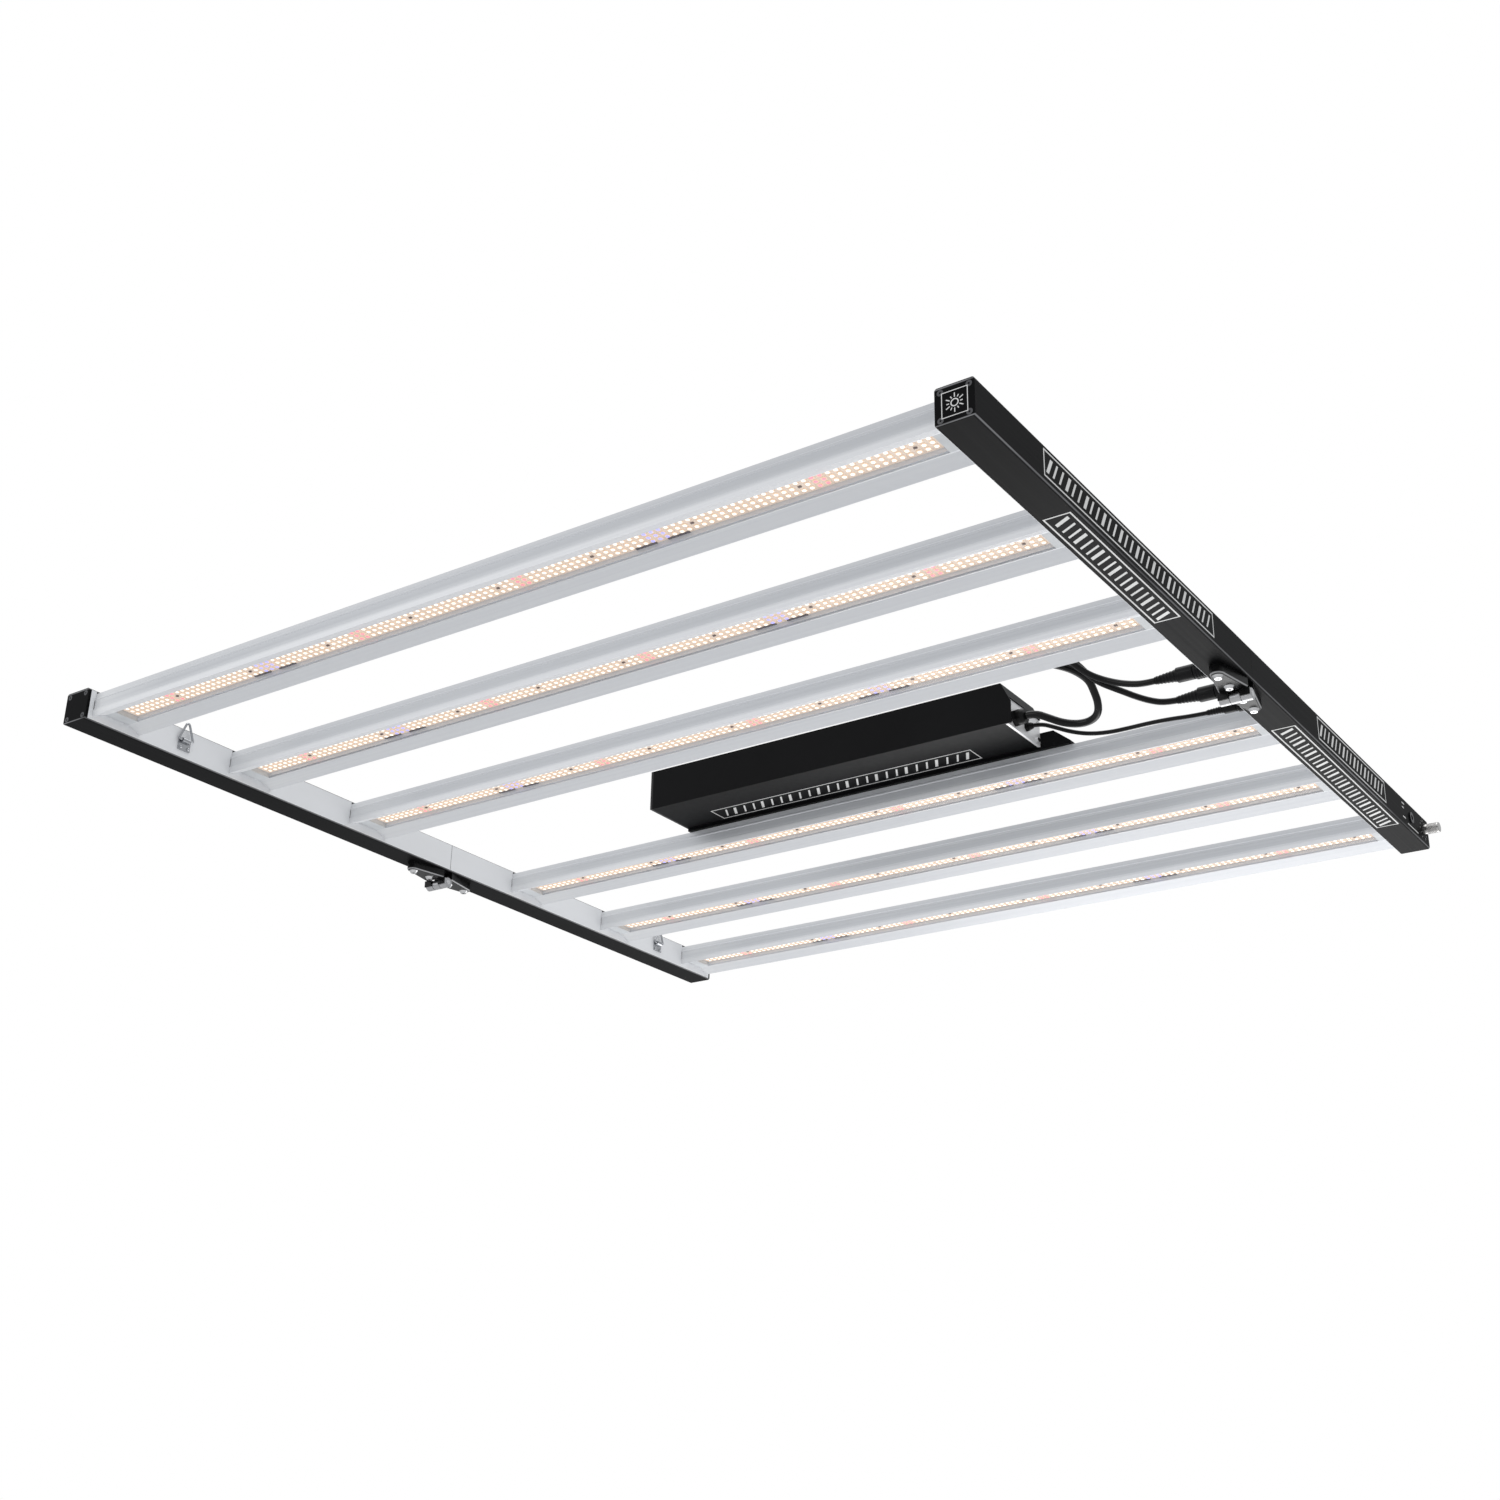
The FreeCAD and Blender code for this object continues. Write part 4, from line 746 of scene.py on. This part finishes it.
def make_cap_badge():
    """A framed sun on the near end cap."""
    side, line = 23 * MM, 0.7 * MM
    cap_low, cap_high = CAP_A_LOW, CAP_A_HIGH
    corner = ((cap_low.x + cap_high.x - side) / 2, cap_low.y, (cap_low.z + cap_high.z - side) / 2)
    badge = Sheet(corner, (1, 0, 0), (0, 0, 1))
    badge.outline(side, side, line)
    badge.ring(side / 2, side / 2, 3.6 * MM, 1.0 * MM)
    for k in range(12):
        badge.spoke(side / 2, side / 2, 4.8 * MM, (8.6 if k % 2 else 7.0) * MM, 30 * k, 0.9 * MM)
    badge.make("end_cap_badge", "half_a")


def make_dial_marks():
    """Scale round the dimmer knob: eleven ticks, every fifth one longer, and beside it three short bars and one long
    bar.
    """
    low, high = box_of("dimmer_knob")
    y, z = (low.y + high.y) / 2, (low.z + high.z) / 2
    marks = Sheet((RIGHT, y, z), (0, 1, 0), (0, 0, 1))
    for k in range(11):
        marks.spoke(0, 0, 10.2 * MM, (12.6 if k % 5 == 0 else 11.6) * MM, 240 - 30 * k, 0.6 * MM)
    for v, long in ((8.8, 9), (3.4, 6), (-8.2, 9)):
        marks.stroke([(-76 * MM, v * MM), (-76 * MM + long * MM, v * MM),
                      (-76 * MM + long * MM, (v + 1.6) * MM), (-76 * MM, (v + 1.6) * MM)])
    marks.stroke([(-60 * MM, -12 * MM), (-22 * MM, -12 * MM), (-22 * MM, -10.6 * MM), (-60 * MM, -10.6 * MM)])
    marks.make("dial_marks", "half_b")


make_prints()
make_cap_badge()
make_dial_marks()


# ------------------------------------------------------------------ turned pieces: plugs
def lathe(name, start, profile, material, sides=40):
    """A closed round piece about X; the profile is (distance along X, radius) in millimetres."""
    verts, faces = [], []
    for along, radius in profile:
        for k in range(sides):
            angle = 2 * math.pi * k / sides
            verts.append((start[0] + along * MM, start[1] + radius * MM * math.cos(angle),
                          start[2] + radius * MM * math.sin(angle)))
    for level in range(len(profile) - 1):
        for k in range(sides):
            a = level * sides + k
            b = level * sides + (k + 1) % sides
            faces.append((a, b, b + sides, a + sides))
    last = (len(profile) - 1) * sides
    faces.append(tuple(reversed(range(sides))))
    faces.append(tuple(last + k for k in range(sides)))
    piece = add_mesh(name, verts, faces, [material])
    smooth_by_angle(piece, 40)
    return piece


def ribbed(start, end, radius_start, radius_end, ribs, deep):
    """Profile points of a tapered sleeve with rounded ribs."""
    points, steps = [], ribs * 6
    for k in range(steps + 1):
        t = k / steps
        radius = radius_start + (radius_end - radius_start) * t
        points.append((start + (end - start) * t, radius - deep * (0.5 + 0.5 * math.cos(2 * math.pi * ribs * t))))
    return points


def make_plug(node, body, cable_radius):
    """A moulded plug: ribbed strain relief, fluted grip and locking collar."""
    low, high = box_of(node)
    long, radius = (high.x - low.x) / MM, (high.z - low.z) / 2 / MM
    middle = (low.x, (low.y + high.y) / 2, (low.z + high.z) / 2)
    relief, grip = 0.40 * long, 0.74 * long
    profile = [(0, cable_radius + 0.1), (0.2, cable_radius + 0.6)]
    profile += ribbed(0.6, relief, cable_radius + 0.8, radius - 2.4, 6, 0.55)
    profile += [(relief + 0.6, radius - 1.6), (relief + 1.4, radius - 1.1)]
    profile += [(grip - 0.8, radius - 1.0), (grip, radius - 1.7), (grip + 0.8, radius - 1.7),
                (grip + 1.2, radius - 0.2)]
    for k in range(4):
        at = grip + 2 + k * (long - grip - 4) / 4
        profile += [(at, radius), (at + 1.0, radius), (at + 1.4, radius - 0.4), (at + 1.8, radius - 0.4)]
    profile += [(long - 1.2, radius), (long - 0.5, radius - 0.2), (long, radius - 0.8)]
    piece = lathe(node + "_shell", middle, profile, "plug")
    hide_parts(node)
    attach(piece, body)
    return piece


PLUGS = {
    "dc_plug_a": make_plug("dc_plug_a", "half_a", 3.3),
    "dc_plug_b": make_plug("dc_plug_b", "half_b", 3.3),
    "dimmer_plug": make_plug("dimmer_plug", "half_b", 2.3),
}


# ------------------------------------------------------------------ cables
def route(points):
    """Points as millimetres: X from the left rail's outer face, Y, and Z above the rails' underside."""
    return [Vector((LEFT + x * MM, y * MM, FLOOR + z * MM)) for x, y, z in points]


TRUNK_ROUTE = [
    (808, 52, 46), (819, 52, 46), (832, 55, 39), (846, 60.5, 32), (861, 65, 28.5), (876, 64.5, 28),
    (889, 56, 30), (896, 42, 36), (898, 28, 44), (899, 16, 50), (895, 4, 54), (889, -8, 56.5),
    (881, -18, 58), (874, -27, 58.5), (870, -31.6, 58.4),
]
DC_ROUTE_A = [
    (881, -50, 56), (893, -48, 55), (902, -37, 51.5), (907, -24, 45.5), (914, -14.5, 40.5),
    (923, -10.5, 35.5), (934, -9, 30), (946, -8.5, 25), (959, -10, 20.5), (971, -12, 17.5), (982, -12, 17.5),
]
DC_ROUTE_B = [
    (881, -41, 59), (892, -39.5, 59.5), (900, -29, 56.5), (904.5, -16, 51), (908, -3, 45.5),
    (916, 4, 38.5), (926.5, 8, 32.3), (937, 14, 27), (946, 23, 23), (957, 33, 19.5), (969, 40.5, 17.5),
    (982, 42, 17.5),
]
DIM_ROUTE = [
    (803, 78, 45.5), (813, 78, 45), (827, 79, 38.5), (844, 83, 30.5), (863, 87, 25), (885, 89.5, 22.5),
    (909, 88, 21.5), (933, 85.5, 20.5), (957, 84.5, 19), (979, 86, 17.5), (995, 87, 17.5),
]


def cable_curve(name, points):
    """The cable's centreline as one smooth spline, with no thickness yet."""
    data = bpy.data.curves.new(name, "CURVE")
    data.dimensions = "3D"
    data.resolution_u = 14
    data.bevel_resolution = 8
    data.use_fill_caps = True
    spline = data.splines.new("NURBS")
    spline.points.add(len(points) - 1)
    for point, place in zip(spline.points, points):
        point.co = (*place, 1)
    spline.order_u = 3
    spline.use_endpoint_u = True
    curve = bpy.data.objects.new(name, data)
    bpy.context.collection.objects.link(curve)
    data.materials.append(MATERIALS["cable"])
    return curve


def centreline(curve):
    """Points along the curve's own spline."""
    bpy.context.view_layer.update()
    wire = bpy.data.meshes.new_from_object(curve)
    points = [v.co.copy() for v in wire.vertices]
    bpy.data.meshes.remove(wire)
    return points


def path_length(points):
    return sum((b - a).length for a, b in zip(points, points[1:]))


def make_cable(name, points, diameter, body):
    """A cable that stays on one half."""
    curve = cable_curve(name + "_jacket", route(points))
    length = path_length(centreline(curve))
    curve.data.bevel_depth = diameter / 2
    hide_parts(name)
    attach(curve, body)
    print("cable", name, round(length, 4))


def make_folding_cable(name, points, diameter):
    """The cable that crosses the fold: a mesh tube, attached to neither half."""
    curve = cable_curve(name + "_jacket", route(points))
    line = centreline(curve)
    curve.data.bevel_depth = diameter / 2
    bpy.context.view_layer.update()
    mesh = bpy.data.meshes.new_from_object(curve)
    mesh.polygons.foreach_set("use_smooth", [True] * len(mesh.polygons))
    bpy.data.objects.remove(curve)
    tube = bpy.data.objects.new(name + "_jacket", mesh)
    bpy.context.collection.objects.link(tube)
    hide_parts(name)
    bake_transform(tube)
    print("cable", name, round(path_length(line), 4))


make_cable("dc_trunk_cable", TRUNK_ROUTE, 8.2 * MM, "half_b")
make_folding_cable("dc_cable_a", DC_ROUTE_A, 6.6 * MM)
make_cable("dc_cable_b", DC_ROUTE_B, 6.6 * MM, "half_b")
make_cable("dimmer_cable", DIM_ROUTE, 4.6 * MM, "half_b")


# ------------------------------------------------------------------ stage and light
def make_stage():
    """A pale floor well below the hanging light."""
    look = Look("floor", (0.86, 0.86, 0.86), 0.8)
    look.vary_color(look.noise(0.6), 0.98, 1.02)
    MATERIALS["floor"] = look.mat
    reach, depth = 12.0, -1.7
    floor = add_mesh("floor", [(-reach, -reach, depth), (reach, -reach, depth), (reach, reach, depth),
                               (-reach, reach, depth)], [(0, 1, 2, 3)], ["floor"])


def make_world():
    """White surroundings, a little dimmer as a source of light than they look."""
    world = bpy.data.worlds.new("studio")
    bpy.context.scene.world = world
    world.use_nodes = True
    tree = world.node_tree
    tree.nodes.clear()
    seen = tree.nodes.new("ShaderNodeBackground")
    seen.inputs["Color"].default_value = (1, 1, 1, 1)
    lit = tree.nodes.new("ShaderNodeBackground")
    lit.inputs["Color"].default_value = (0.97, 0.985, 1.0, 1)
    lit.inputs["Strength"].default_value = 0.62
    rays = tree.nodes.new("ShaderNodeLightPath")
    mix = tree.nodes.new("ShaderNodeMixShader")
    out = tree.nodes.new("ShaderNodeOutputWorld")
    tree.links.new(rays.outputs["Is Camera Ray"], mix.inputs["Fac"])
    tree.links.new(lit.outputs["Background"], mix.inputs[1])
    tree.links.new(seen.outputs["Background"], mix.inputs[2])
    tree.links.new(mix.outputs["Shader"], out.inputs["Surface"])


def area_light(name, place, target, size, power, color=(1, 1, 1)):
    data = bpy.data.lights.new(name, "AREA")
    data.shape = "SQUARE"
    data.size = size
    data.energy = power
    data.color = color
    light = bpy.data.objects.new(name, data)
    bpy.context.collection.objects.link(light)
    aim = Vector(target) - Vector(place)
    light.rotation_euler = aim.to_track_quat("-Z", "Y").to_euler()
    light.location = place


def make_lights():
    area_light("over", (0.3, 0.2, 2.4), (0, 0, 0), 3.0, 34)
    area_light("front", (-1.4, -2.6, 0.5), (0, 0, 0), 2.0, 16)
    area_light("under_far", (-0.2, 1.7, -1.2), (0, 0.5, 0), 1.6, 22)


make_stage()
make_world()
make_lights()
bpy.context.scene.view_settings.view_transform = "Standard"
